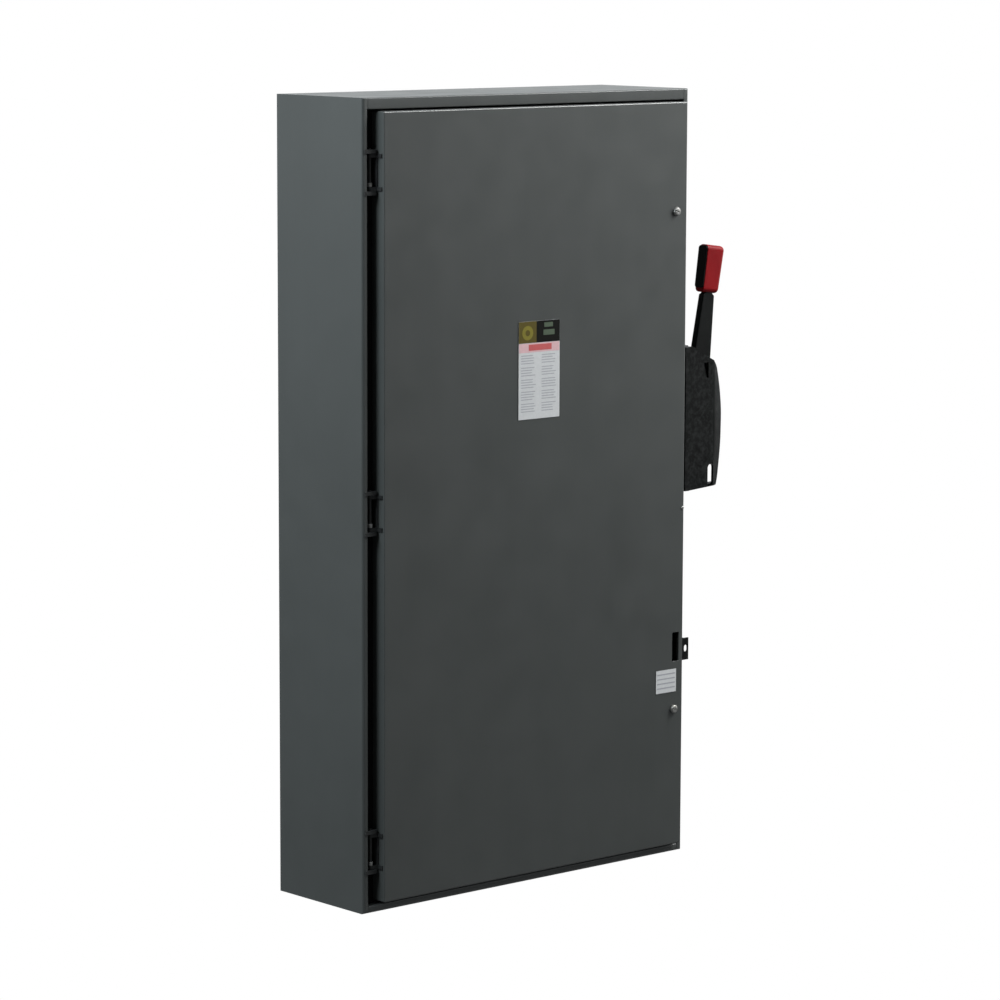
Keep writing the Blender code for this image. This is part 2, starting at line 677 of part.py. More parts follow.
def crank_point(radius, angle):
    """A point in the (y, z) plane at a radius from the blades' axis, measured up from -Y."""
    return (BLADE_PIVOT[0] - radius * math.cos(angle), BLADE_PIVOT[1] + radius * math.sin(angle))


def crossbar(pivot):
    """Insulating bar that carries the blades, with a forked crank at its right end."""
    bar = block("crossbar", (-0.205, 0.2205), (-0.104, -0.0635), (0.152, 0.178), RED_POLYESTER)
    for x in POLES:
        half = BLADE_HALF + GAP
        cut(bar, block("bar_slot_tool", around(x, half), (BLADE_Y[0] - GAP, -0.05), (0.14, 0.19)))
    arm_outline = [
        *arc(BLADE_PIVOT, 0.014, -135, 45, 10),
        (BLADE_PIVOT[0] + 0.012, 0.176),
        (BLADE_PIVOT[0] - 0.024, 0.176),
        crank_point(0.037, CRANK_ANGLE + 0.22),
        crank_point(0.043, CRANK_ANGLE + 0.18),
        crank_point(0.043, CRANK_ANGLE - 0.18),
    ]
    arm = flat("crank_arm_tool", arm_outline, "X", (0.2140, 0.2200))
    shaft = rod(
        "crank_shaft_tool", (0.216, *BLADE_PIVOT), (0.2465, *BLADE_PIVOT), 0.006, None, 16
    )
    join(bar, arm, shaft)
    ends = [crank_point(r, CRANK_ANGLE) for r in (0.0262, 0.055)]
    across = Vector((math.sin(CRANK_ANGLE), math.cos(CRANK_ANGLE))) * 0.0038
    corners = []
    for side in (1, -1):
        pair = [(y + side * across[0], z + side * across[1]) for y, z in ends]
        corners += pair if side == 1 else pair[::-1]
    cut(bar, flat("fork_tool", corners, "X", (0.205, 0.2245)))
    attach([bar], pivot)


def torsion_spring(pivot):
    """Coil round the crank shaft, between the crank and the side plate."""
    turns, per_turn, radius, wire = 4, 12, 0.0105, 0.0011
    start, end = 0.2230, 0.2380
    curve = bpy.data.curves.new("crossbar_spring", "CURVE")
    curve.dimensions = "3D"
    curve.bevel_depth = wire
    curve.bevel_resolution = 2
    curve.use_fill_caps = True
    spline = curve.splines.new("POLY")
    count = turns * per_turn
    spline.points.add(count)
    for i, point in enumerate(spline.points):
        angle = 2 * math.pi * i / per_turn
        along = start + (end - start) * i / count
        point.co = (along - start, radius * math.cos(angle), radius * math.sin(angle), 1)
    spring = bpy.data.objects.new("crossbar_spring", curve)
    curve.materials.append(ZINC)
    PARTS.objects.link(spring)
    spring.location = (start, *BLADE_PIVOT)
    attach([spring], pivot)


def operator_slide(pivot):
    """Sliding plate: a drive pin for the crank's fork, and a tab out through the side wall."""
    pin_y, pin_z = crank_point(CRANK_R, CRANK_ANGLE)
    plate = block("operator_slide", SLIDE_X, (-0.175, -0.160), (0.060, 0.200), ZINC)
    finger = block("slide_finger_tool", SLIDE_X, (-0.162, pin_y + 0.006), (pin_z - 0.008, pin_z + 0.008))
    drive_pin = rod("drive_pin_tool", (0.213, pin_y, pin_z), (0.229, pin_y, pin_z), 0.003, None, 12)
    tab = block("slide_tab_tool", (0.2285, RIGHT + 0.018), (-0.175, -0.160), (0.100, 0.108))
    join(plate, finger, drive_pin, tab)
    attach([plate], pivot)


def mechanism():
    plate = block("mechanism_plate", PLATE_X, (-0.135, -0.0143), PLATE_Z, ZINC)
    foot = block("plate_foot_tool", (0.2200, 0.2425), (-0.0173, -0.0143), PLATE_Z)
    join(plate, foot)
    shaft_hole = rod("shaft_hole_tool", (0.23, *BLADE_PIVOT), (0.25, *BLADE_PIVOT), 0.0064)
    hook_hole = rod("hook_hole_tool", (0.23, *HOOK_PIVOT), (0.25, *HOOK_PIVOT), 0.0043)
    cut(plate, shaft_hole, hook_hole)


def interlock(hook_pivot, door_pivot):
    """A hook beside the mechanism and the catch on the door that it holds when it is raised."""
    outline = [
        (0.006, -0.006),
        (0.006, 0.006),
        (-0.058, 0.004),
        (-0.058, 0.014),
        (-0.064, 0.014),
        (-0.066, -0.004),
    ]
    hook = flat("interlock_hook", outline, "X", HOOK_X, ZINC)
    hook.data.transform(Matrix.Rotation(HOOK_TILT, 4, "X"))
    hook.location = (hook.location.x, *HOOK_PIVOT)
    boss = rod("hook_boss_tool", (0.2385, *HOOK_PIVOT), (0.2480, *HOOK_PIVOT), 0.004, None, 16)
    join(hook, boss)
    attach([hook], hook_pivot)
    y, z = HOOK_PIVOT[0] - 0.048, HOOK_PIVOT[1] + 0.0085
    height = (z - 0.016, z + 0.016)
    rear_of_door = FACE + SHEET + GAP
    catch = block("door_catch", (0.2530, 0.2550), (rear_of_door, y + 0.008), height, ZINC)
    foot = block("catch_foot_tool", (0.2545, 0.2720), (rear_of_door, rear_of_door + 0.002), height)
    pin = rod("catch_pin_tool", (0.2455, y, z), (0.2540, y, z), 0.003, None, 12)
    join(catch, foot, pin)
    attach([catch], door_pivot)


def line_shield():
    """Clear cover over the line lugs, with returns that stand on the pan."""
    shape = bmesh.new()
    front, rear, left, right, low, high = -0.136, -0.0146, -0.232, 0.196, 0.262, 0.400
    spots = ((left, rear), (left, front), (right, front), (right, rear))
    rows = [[shape.verts.new((x, y, z)) for x, y in spots] for z in (low, high)]
    for i in range(3):
        shape.faces.new((rows[0][i], rows[0][i + 1], rows[1][i + 1], rows[1][i]))
    mesh = bpy.data.meshes.new("line_shield")
    shape.to_mesh(mesh)
    shape.free()
    thicken(new_object("line_shield", mesh, CLEAR), 0.0025)


def ground_bar():
    bar = block("ground_bar", (-0.270, -0.130), (-0.0240, -0.0023), (-0.500, -0.476), ALUMINIUM)
    for i in range(5):
        x = -0.256 + 0.028 * i
        join(bar, rod("ground_screw_tool", (x, -0.0275, -0.488), (x, -0.0230, -0.488), 0.005, None, 12))


def build():
    door_pivot = joint_empty("door_axis", (HINGE_X, HINGE_Y, 0))
    handle_pivot = joint_empty("handle_axis", (PIVOT_X, LEVER_Y[0], PIVOT_Z))
    crossbar_pivot = joint_empty("crossbar_axis", (0.2, *BLADE_PIVOT))
    slide_pivot = joint_empty("slide_axis", (SLIDE_X[0], -0.165, 0.12))
    hook_pivot = joint_empty("hook_axis", (HOOK_X[0], *HOOK_PIVOT))
    enclosure()
    seal()
    door(door_pivot)
    for name, height in HINGE_HEIGHTS.items():
        hinge(name, height, door_pivot)
    for name, place in LATCHES.items():
        latch(name, place, door_pivot)
    hasps(door_pivot)
    labels(door_pivot)
    handle_housing()
    handle(handle_pivot)
    mounting_pan()
    bases()
    for name, x in zip(("left", "centre", "right"), POLES):
        pole(name, x, crossbar_pivot)
    crossbar(crossbar_pivot)
    torsion_spring(crossbar_pivot)
    operator_slide(slide_pivot)
    mechanism()
    interlock(hook_pivot, door_pivot)
    line_shield()
    ground_bar()


build()
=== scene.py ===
"""Looks of the side-operated AC disconnect box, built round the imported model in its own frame.

Metres, +Z up, -Y towards the user. The rear face lies in the plane y = 0.
"""

import json
import math
import random

import bmesh
import bpy
from mathutils import Matrix, Vector


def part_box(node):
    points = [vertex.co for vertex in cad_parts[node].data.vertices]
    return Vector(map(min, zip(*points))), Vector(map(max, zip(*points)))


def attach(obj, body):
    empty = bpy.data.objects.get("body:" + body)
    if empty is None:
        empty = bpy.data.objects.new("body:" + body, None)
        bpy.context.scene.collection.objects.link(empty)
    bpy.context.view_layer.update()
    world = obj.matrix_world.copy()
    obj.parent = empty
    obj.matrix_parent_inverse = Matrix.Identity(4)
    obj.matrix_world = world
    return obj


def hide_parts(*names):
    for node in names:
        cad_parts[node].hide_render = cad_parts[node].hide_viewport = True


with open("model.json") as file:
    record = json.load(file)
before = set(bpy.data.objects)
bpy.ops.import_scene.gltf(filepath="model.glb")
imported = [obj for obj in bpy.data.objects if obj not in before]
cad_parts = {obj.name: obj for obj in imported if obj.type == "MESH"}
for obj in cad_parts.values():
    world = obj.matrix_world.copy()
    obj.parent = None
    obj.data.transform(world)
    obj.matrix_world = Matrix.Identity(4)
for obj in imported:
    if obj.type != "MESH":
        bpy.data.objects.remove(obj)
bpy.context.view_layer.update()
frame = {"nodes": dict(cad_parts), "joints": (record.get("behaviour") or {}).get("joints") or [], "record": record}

# The enclosure: its outline, front strips and the flange that the seal sits on (left, right, top, bottom)
SHELL_LOW, SHELL_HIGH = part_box("enclosure_shell")
LEFT, RIGHT = SHELL_LOW.x, SHELL_HIGH.x
BOTTOM, TOP = SHELL_LOW.z, SHELL_HIGH.z
FRONT = SHELL_LOW.y
SHEET = 0.0016
STRIPS = (0.011, 0.011, 0.0182, 0.0125)
MOUTH = (0.060, 0.0225, 0.044, 0.040)
POCKET_DEPTH = 0.019
STRIP_BENDS = (0.0055, 0.0030, 0.0022, 0.0050)
BEND_DEPTH = 0.0042
STRIP_LIPS = (0.0030, 0.0020, 0.0018, 0.0025)
LIP_DEPTH = 0.0028

# The door and what sits on it
DOOR_LOW, DOOR_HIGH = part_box("door_panel")
FACE = DOOR_LOW.y
DOOR_BEND = 0.0024
LATCH_NAMES = ("upper", "lower")
HASP_POCKET_X = (RIGHT - 0.0387, RIGHT - 0.0237)
HASP_POCKET_Z = (-0.3100, -0.2613)
EDGE_SCREW = (RIGHT - 0.0183, -0.0532)

# Openings and fasteners: the link's way through the right wall, and places on the panels and bars
LINK_SLOT = ((RIGHT - 0.006, RIGHT + 0.004), (-0.180, -0.155), (0.045, 0.126))
WALL_HOLES_X, WALL_HOLES_Z = (-0.25, 0.25), (-0.57, 0.57)
WELD_INSET = 0.010
BASE_SCREW_Y = -0.052
TERMINAL_BOLTS_Z = (0.082, 0.038)
PLATE_RIVETS = ((-0.040, 0.180), (-0.040, 0.060), (-0.120, 0.185), (-0.100, 0.060))
CROSSBAR_SCREW_Y, CROSSBAR_SCREW_Z = -0.104, 0.165

# The handle
PIVOT = next(Vector(j["pos_m"]) for j in frame["joints"] if j["name"] == "handle_swing")
LEVER_LEAN = math.radians(7.7)
COVER_LOW, COVER_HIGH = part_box("handle_cover")
CASTING = 0.0035
HOUSING_Z = (COVER_LOW.z, COVER_HIGH.z)
HOUSING_FLAT = 0.060
HOUSING_PROFILE = (
    (-0.024, 0.0840),
    (-0.006, 0.0885),
    (0.040, 0.0945),
    (0.075, 0.0960),
    (0.102, 0.0960),
    (0.130, 0.0930),
    (0.150, 0.0895),
    (0.165, 0.0858),
    (0.1735, 0.0830),
    (0.1805, 0.0785),
    (0.186, 0.0715),
)

POLES = ("left", "centre", "right")
HINGES = ("top", "middle", "bottom")
ORIGIN = (0, 0, 0)
TO_USER, TO_WALL, UP, DOWN = (0, -1, 0), (0, 1, 0), (0, 0, 1), (0, 0, -1)
PRINT, OVERPRINT = (-0.00012, 0.0001), (-0.00024, -0.0001)
SLOT_OF = {row["node"]: row["material_slot"] for row in frame["record"]["subparts"]}
TURNS = {
    "Z": Matrix.Identity(4),
    "Y": Matrix.Rotation(math.radians(90), 4, "X"),
    "X": Matrix.Rotation(math.radians(90), 4, "Z") @ Matrix.Rotation(math.radians(90), 4, "X"),
}


# ---------------------------------------------------------------- materials


class Graph:
    """A material's node tree, with short calls for the nodes that this scene uses."""

    def __init__(self, name, colour, roughness, metallic=0.0, specular=0.5):
        self.material = bpy.data.materials.new(name)
        self.material.use_nodes = True
        self.tree = self.material.node_tree
        self.shader = self.tree.nodes["Principled BSDF"]
        self.set(self.shader, "Base Color", (*colour, 1.0))
        self.set(self.shader, "Roughness", roughness)
        self.set(self.shader, "Metallic", metallic)
        self.set(self.shader, "Specular IOR Level", specular)
        self.place = self.add("ShaderNodeTexCoord").outputs["Object"]

    def add(self, kind, **settings):
        made = self.tree.nodes.new(kind)
        for key, value in settings.items():
            setattr(made, key, value)
        return made

    def set(self, node, socket, value):
        if isinstance(value, bpy.types.NodeSocket):
            self.tree.links.new(value, node.inputs[socket])
        else:
            node.inputs[socket].default_value = value

    def stretched(self, scale):
        mapping = self.add("ShaderNodeMapping")
        self.set(mapping, "Vector", self.place)
        self.set(mapping, "Scale", scale)
        return mapping.outputs["Vector"]

    def noise(self, scale, detail=3.0, roughness=0.5, vector=None):
        made = self.add("ShaderNodeTexNoise")
        self.set(made, "Vector", vector or self.place)
        self.set(made, "Scale", scale)
        self.set(made, "Detail", detail)
        self.set(made, "Roughness", roughness)
        return made.outputs["Fac"]

    def cells(self, scale):
        made = self.add("ShaderNodeTexVoronoi")
        self.set(made, "Vector", self.place)
        self.set(made, "Scale", scale)
        return made.outputs["Distance"]

    def spread(self, value, low, high, out_low=0.0, out_high=1.0):
        """value, from low to high, made to run from out_low to out_high."""
        made = self.add("ShaderNodeMapRange")
        ends = (low, high, out_low, out_high)
        self.set(made, "Value", value)
        for socket, number in zip(("From Min", "From Max", "To Min", "To Max"), ends):
            self.set(made, socket, number)
        return made.outputs["Result"]

    def times(self, first, second):
        made = self.add("ShaderNodeMath", operation="MULTIPLY")
        self.tree.links.new(first, made.inputs[0])
        self.tree.links.new(second, made.inputs[1])
        return made.outputs[0]

    def mix(self, share, first, second):
        """Colours first and second, mixed by share."""
        made = self.add("ShaderNodeMix", data_type="RGBA")
        sockets = {socket.identifier: socket for socket in made.inputs}
        for identifier, value in (("Factor_Float", share), ("A_Color", first), ("B_Color", second)):
            if isinstance(value, bpy.types.NodeSocket):
                self.tree.links.new(value, sockets[identifier])
            else:
                sockets[identifier].default_value = (*value, 1.0)
        return next(socket for socket in made.outputs if socket.identifier == "Result_Color")

    def painted_edge_highlight(self, patch_scale):
        """Painted highlight: 1 along parts of the rounded outer edges, which the callers lighten as if light
        caught them, and 0 on flat faces.
        """
        pointed = self.add("ShaderNodeNewGeometry").outputs["Pointiness"]
        patches = self.spread(self.noise(patch_scale, 4.0, 0.7), 0.42, 0.78)
        return self.times(self.spread(pointed, 0.52, 0.62), patches)

    def bump(self, *layers):
        """Bumps one on the other: each layer is (height, depth in metres)."""
        normal = None
        for height, depth in layers:
            made = self.add("ShaderNodeBump")
            self.set(made, "Height", height)
            self.set(made, "Distance", depth)
            self.set(made, "Strength", 1.0)
            if normal:
                self.set(made, "Normal", normal)
            normal = made.outputs["Normal"]
        self.set(self.shader, "Normal", normal)


def scaled(colour, factor, lift=0.0):
    return tuple(min(1.0, c * factor + lift) for c in colour)


def enamel(name, colour, rough=0.36):
    """Baked enamel on steel: fine orange peel, faint clouds and streaks, and a few dust nibs."""
    g = Graph(name, colour, rough)
    cloud = g.spread(g.noise(4.0, 4.0, 0.6), 0.35, 0.65)
    base = g.mix(cloud, scaled(colour, 0.96), scaled(colour, 1.04))
    streaks = g.spread(g.noise(45.0, 4.0, 0.6, g.stretched((1.0, 1.0, 0.06))), 0.45, 0.75, 0.0, 0.10)
    base = g.mix(streaks, base, scaled(colour, 1.25, 0.002))
    nibs = g.spread(g.noise(1000.0, 2.0, 0.6), 0.72, 0.80, 0.0, 0.30)
    g.set(g.shader, "Base Color", g.mix(nibs, base, scaled(colour, 1.5, 0.008)))
    g.set(g.shader, "Roughness", g.spread(g.noise(14.0, 5.0, 0.6), 0.3, 0.7, rough - 0.05, rough + 0.06))
    g.bump((g.noise(260.0, 2.0, 0.5), 0.00005), (g.noise(1400.0, 2.0, 0.6), 0.000012))
    return g.material


def powder_coat(name, colour, rough=0.42, specular=0.28):
    """Black powder coat on a casting: a fine pebbled skin, with a painted grey highlight along parts of its edges.
    """
    g = Graph(name, colour, rough, specular=specular)
    cloud = g.spread(g.noise(24.0, 4.0, 0.6), 0.35, 0.65)
    base = g.mix(cloud, scaled(colour, 0.8), scaled(colour, 1.3, 0.001))
    # Painted highlight: parts of the rounded edges are lightened to grey as if light caught them.
    g.set(g.shader, "Base Color", g.mix(g.painted_edge_highlight(140.0), base, scaled(colour, 3.0, 0.012)))
    g.set(g.shader, "Roughness", g.spread(g.noise(70.0, 4.0, 0.6), 0.3, 0.7, rough - 0.08, rough + 0.10))
    g.bump((g.cells(1500.0), 0.00005), (g.noise(420.0, 3.0, 0.6), 0.00005))
    return g.material


def plastic(name, colour, rough=0.36):
    """Moulded grip plastic: faint flow marks, fine grain and fine scratches."""
    g = Graph(name, colour, rough, specular=0.10)
    flow = g.spread(g.noise(30.0, 4.0, 0.6, g.stretched((1.0, 1.0, 0.35))), 0.3, 0.7)
    base = g.mix(flow, scaled(colour, 0.85), scaled(colour, 1.12))
    # Painted highlight: parts of the rounded edges are lightened as if light caught them.
    g.set(g.shader, "Base Color", g.mix(g.painted_edge_highlight(200.0), base, scaled(colour, 1.5, 0.01)))
    scratches = g.noise(90.0, 5.0, 0.7, g.stretched((1.0, 1.0, 9.0)))
    g.set(g.shader, "Roughness", g.spread(scratches, 0.3, 0.75, rough - 0.06, rough + 0.12))
    g.bump((g.noise(900.0, 3.0, 0.6), 0.00003), (scratches, 0.00002))
    return g.material


def foam(name, colour):
    """Closed-cell sponge, near-black, so that the seal also stands as painted shade in the pocket behind the
    door's flange.
    """
    g = Graph(name, colour, 0.92, specular=0.2)
    cells = g.cells(1100.0)
    shade = g.mix(g.spread(cells, 0.0, 0.8), scaled(colour, 0.5), scaled(colour, 1.6))
    g.set(g.shader, "Base Color", shade)
    g.bump((cells, 0.00025), (g.noise(90.0, 4.0, 0.6), 0.0003))
    return g.material


def plated(name, colour, rough=0.30):
    """Zinc plate: spangle with a faint warm cast, and dull patches."""
    g = Graph(name, colour, rough, metallic=1.0)
    spangle = g.spread(g.cells(220.0), 0.1, 0.8)
    warm = g.mix(spangle, scaled(colour, 0.86), colour)
    dull = g.spread(g.noise(45.0, 5.0, 0.65), 0.45, 0.75)
    worn = (colour[0] * 0.78, colour[1] * 0.76, colour[2] * 0.68)
    g.set(g.shader, "Base Color", g.mix(dull, warm, worn))
    g.set(g.shader, "Roughness", g.spread(g.noise(120.0, 4.0, 0.6), 0.3, 0.7, rough - 0.07, rough + 0.16))
    g.bump((g.noise(700.0, 3.0, 0.6), 0.00002))
    return g.material


def bare_metal(name, colour, stain, rough=0.28):
    """Rolled bar: drawn lines along its length, with stains."""
    g = Graph(name, colour, rough, metallic=1.0)
    lines = g.noise(900.0, 4.0, 0.6, g.stretched((1.0, 1.0, 0.05)))
    bright = g.mix(g.spread(lines, 0.3, 0.7), scaled(colour, 0.84), colour)
    stained = g.spread(g.noise(55.0, 6.0, 0.7), 0.50, 0.72, 0.0, 0.75)
    g.set(g.shader, "Base Color", g.mix(stained, bright, stain))
    g.set(g.shader, "Roughness", g.spread(lines, 0.25, 0.75, rough - 0.06, rough + 0.18))
    g.bump((lines, 0.00002))
    return g.material


def polyester(name, colour, rough=0.46):
    """Glass-filled moulding: short pale fibres in a coloured resin."""
    g = Graph(name, colour, rough)
    fibres = g.noise(420.0, 6.0, 0.75, g.stretched((1.0, 1.0, 0.3)))
    base = g.mix(g.spread(g.noise(18.0, 4.0, 0.6), 0.3, 0.7), scaled(colour, 0.8), colour)
    strands = g.spread(fibres, 0.56, 0.70, 0.0, 0.5)
    g.set(g.shader, "Base Color", g.mix(strands, base, scaled(colour, 1.7, 0.05)))
    g.set(g.shader, "Roughness", g.spread(fibres, 0.3, 0.7, rough - 0.08, rough + 0.12))
    g.bump((fibres, 0.00006))
    return g.material


def clear_plastic(name):
    """Clear sheet with faint scuffs."""
    g = Graph(name, (0.93, 0.95, 0.95), 0.05)
    g.set(g.shader, "Transmission Weight", 1.0)
    g.set(g.shader, "IOR", 1.30)
    scuffs = g.noise(35.0, 6.0, 0.75, g.stretched((1.0, 1.0, 4.0)))
    g.set(g.shader, "Roughness", g.spread(scuffs, 0.5, 0.8, 0.03, 0.22))
    return g.material


def printed(name, colour, rough=0.42, specular=0.15):
    """Ink or bare film on a label: slight mottle and a soft gloss."""
    g = Graph(name, colour, rough, specular=specular)
    mottle = g.spread(g.noise(260.0, 4.0, 0.6), 0.3, 0.7)
    g.set(g.shader, "Base Color", g.mix(mottle, scaled(colour, 0.94), scaled(colour, 1.03)))
    g.set(g.shader, "Roughness", g.spread(g.noise(40.0, 3.0, 0.6), 0.3, 0.7, rough - 0.06, rough + 0.08))
    g.bump((g.noise(600.0, 2.0, 0.5), 0.00001))
    return g.material


MATERIALS = {
    "grey_paint": enamel("grey_enamel", (0.052, 0.057, 0.055)),
    "black_paint": powder_coat("black_powder_coat", (0.0035, 0.0042, 0.0040), 0.45, 0.08),
    # The seal's near-black sponge is partly its own colour and partly painted shade: it darkens the pocket behind
    # the door's flange.
    "seal_foam": foam("seal_sponge_and_pocket_shade", (0.004, 0.004, 0.004)),
    "grip_black": plastic("black_grip_plastic", (0.004, 0.0032, 0.0032), 0.45),
    "grip_red": plastic("red_grip_plastic", (0.205, 0.0036, 0.0060), 0.42),
    "plated_steel": plated("zinc_plate", (0.62, 0.62, 0.60)),
    "moulded_base": polyester("red_polyester", (0.23, 0.030, 0.020)),
    "copper": bare_metal("copper_bar", (0.80, 0.42, 0.27), (0.36, 0.15, 0.085)),
    "aluminium": bare_metal("aluminium_bar", (0.80, 0.81, 0.82), (0.55, 0.56, 0.57), 0.34),
    "arc_fibre": polyester("arc_fibre", (0.30, 0.25, 0.18), 0.6),
    "fuse_tube": polyester("fuse_tube", (0.50, 0.38, 0.20), 0.4),
    "clear_shield": clear_plastic("clear_polycarbonate"),
    "label": printed("label_film", (0.59, 0.605, 0.61)),
}
DULL_ZINC = plated("dull_zinc", (0.38, 0.38, 0.37), 0.46)
HINGE_PAINT = powder_coat("hinge_powder_coat", (0.016, 0.017, 0.017), 0.42, 0.30)
INKS = {
    "ochre": printed("ink_ochre", (0.095, 0.075, 0.016)),
    "yellow": printed("ink_yellow", (0.20, 0.175, 0.028)),
    "black": printed("ink_black", (0.010, 0.010, 0.009), 0.6, 0.04),
    "green": printed("ink_green", (0.080, 0.110, 0.074), 0.5),
    "red": printed("ink_red", (0.52, 0.115, 0.115)),
    "pink": printed("ink_pink", (0.66, 0.44, 0.46)),
    "grey": printed("ink_grey", (0.36, 0.37, 0.40)),
}


# ---------------------------------------------------------------- mesh helpers


def add_object(name, data):
    obj = bpy.data.objects.new(name, data)
    bpy.context.scene.collection.objects.link(obj)
    return obj


def as_shown(holder):
    """The mesh that an object shows with its modifiers. The object is used up."""
    shown = holder.evaluated_get(bpy.context.evaluated_depsgraph_get())
    result = bpy.data.meshes.new_from_object(shown)
    bpy.data.objects.remove(holder)
    return result


def raw_mesh(name, shape):
    """A mesh whose faces keep the way they were drawn, as an open sheet needs."""
    mesh = bpy.data.meshes.new(name)
    shape.to_mesh(mesh)
    shape.free()
    return mesh


def to_mesh(name, shape):
    bmesh.ops.recalc_face_normals(shape, faces=shape.faces)
    return raw_mesh(name, shape)


def skin(shape, rings, ends=True, looped=False):
    """Faces from each ring of points to the next, then across both ends or back to the first ring."""
    rows = [[shape.verts.new(point) for point in ring] for ring in rings]
    for row, following in zip(rows, rows[1:] + rows[:1] if looped else rows[1:]):
        for i in range(len(row)):
            j = (i + 1) % len(row)
            shape.faces.new((row[i], row[j], following[j], following[i]))
    if ends:
        shape.faces.new(rows[0])
        shape.faces.new(rows[-1])


def joined(meshes):
    """Several meshes as one. They are used up."""
    shape = bmesh.new()
    for single in meshes:
        shape.from_mesh(single)
        bpy.data.meshes.remove(single)
    return to_mesh("joined", shape)


def box_mesh(x, y, z):
    """A box between (low, high) pairs."""
    low, high = (Vector(corner) for corner in zip(x, y, z))
    shape = bmesh.new()
    place = Matrix.Translation((low + high) / 2) @ Matrix.Diagonal((*(high - low), 1.0))
    bmesh.ops.create_cube(shape, size=1.0, matrix=place)
    return to_mesh("box", shape)


def boxes_mesh(spans):
    return joined(box_mesh(*span) for span in spans)


def prism_mesh(outline, axis, span):
    """An outline extruded along an axis: (x, z) points for Y, (y, z) points for X, (x, y) for Z."""
    shape = bmesh.new()
    skin(shape, [[(across, up, depth) for across, up in outline] for depth in (-0.5, 0.5)])
    direction = -1 if axis == "Y" else 1
    thickness = Matrix.Diagonal((1, 1, (span[1] - span[0]) * direction, 1))
    bmesh.ops.transform(shape, matrix=TURNS[axis] @ thickness, verts=shape.verts)
    offset = Vector(ORIGIN)
    offset["XYZ".index(axis)] = (span[0] + span[1]) / 2
    bmesh.ops.translate(shape, vec=offset, verts=shape.verts)
    return to_mesh("prism", shape)


def lathe_mesh(profile, start, direction, steps=32):
    """A turned shape: (radius, distance along) pairs round the line from start."""
    shape = bmesh.new()
    turn = Matrix.Translation(start) @ Vector(direction).to_track_quat("Z", "Y").to_matrix().to_4x4()
    circle = [(math.cos(a), math.sin(a)) for a in (2 * math.pi * i / steps for i in range(steps))]
    skin(shape, [[turn @ Vector((r * c, r * s, along)) for c, s in circle] for r, along in profile])
    return to_mesh("lathe", shape)


def combine(mesh, tool, operation):
    """mesh with tool cut away or joined on. Both are used up."""
    holder, other = add_object("holder", mesh), add_object("other", tool)
    modifier = holder.modifiers.new("boolean", "BOOLEAN")
    modifier.operation = operation
    modifier.object = other
    result = as_shown(holder)
    bpy.data.objects.remove(other)
    for used in (mesh, tool):
        bpy.data.meshes.remove(used)
    return result


def carve(mesh, *tools):
    for tool in tools:
        mesh = combine(mesh, tool, "DIFFERENCE")
    return mesh


def weld_on(mesh, *tools):
    for tool in tools:
        mesh = combine(mesh, tool, "UNION")
    return mesh


def repeated(mesh, places, turn=None):
    """Copies of one mesh, drawn round the origin, at several places. The mesh is used up."""
    copies = []
    for place in places:
        copies.append(mesh.copy())
        copies[-1].transform(Matrix.Translation(place) @ (turn or Matrix.Identity(4)))
    bpy.data.meshes.remove(mesh)
    return joined(copies)


def soften(obj, width, segments=2, angle=30, dissolve=True):
    """Rounded edges and even shading. Large concave faces fold if they are dissolved before the bevel."""
    weld = obj.modifiers.new("weld", "WELD")
    weld.merge_threshold = 1e-6
    if dissolve:
        plane = obj.modifiers.new("flatten", "DECIMATE")
        plane.decimate_type = "DISSOLVE"
        plane.angle_limit = math.radians(1.0)
    if width:
        bevel = obj.modifiers.new("edges", "BEVEL")
        bevel.width = width
        bevel.segments = segments
        bevel.limit_method = "ANGLE"
        bevel.angle_limit = math.radians(angle)
        bevel.use_clamp_overlap = True
    normals = obj.modifiers.new("normals", "WEIGHTED_NORMAL")
    normals.keep_sharp = True
    return obj


def piece(
    name, mesh, material, body, replaces=(), edge=0.0004, segments=2, slot=None,
    sharp=35, angle=30, dissolve=True,
):
    """A visible piece: it rides on a body, and takes its finish from a material slot of the record, or from a
    material given directly.
    """
    mesh.name = name
    mesh.materials.clear()
    mesh.materials.append(MATERIALS[material] if isinstance(material, str) else material)
    mesh.shade_smooth()
    mesh.set_sharp_from_angle(angle=math.radians(sharp))
    obj = add_object(name, mesh)
    soften(obj, edge, segments, angle, dissolve)
    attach(obj, body)
    if replaces:
        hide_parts(*replaces)
    return obj


def around(middle, half):
    return (middle - half, middle + half)


def arc(centre, radius, first, last, steps):
    angles = (math.radians(first + (last - first) * i / steps) for i in range(steps + 1))
    return [(centre[0] + radius * math.cos(a), centre[1] + radius * math.sin(a)) for a in angles]


def rounded_rect(x, z, radius, steps=5):
    corners = (
        ((x[1] - radius, z[1] - radius), 0),
        ((x[0] + radius, z[1] - radius), 90),
        ((x[0] + radius, z[0] + radius), 180),
        ((x[1] - radius, z[0] + radius), 270),
    )
    return [point for centre, start in corners for point in arc(centre, radius, start, start + 90, steps)]


def pan_head_mesh(radius, height):
    """A slotted pan head, along -Y from the origin."""
    shares = ((1.0, 0.0), (1.0, 0.35), (0.92, 0.7), (0.7, 0.93))
    profile = [(radius * across, height * along) for across, along in shares]
    profile.append((radius * 0.35, height))
    slot = box_mesh(around(0, radius * 1.2), (-height * 1.5, -height * 0.55), around(0, radius * 0.13))
    return carve(lathe_mesh(profile, ORIGIN, TO_USER, 24), slot)


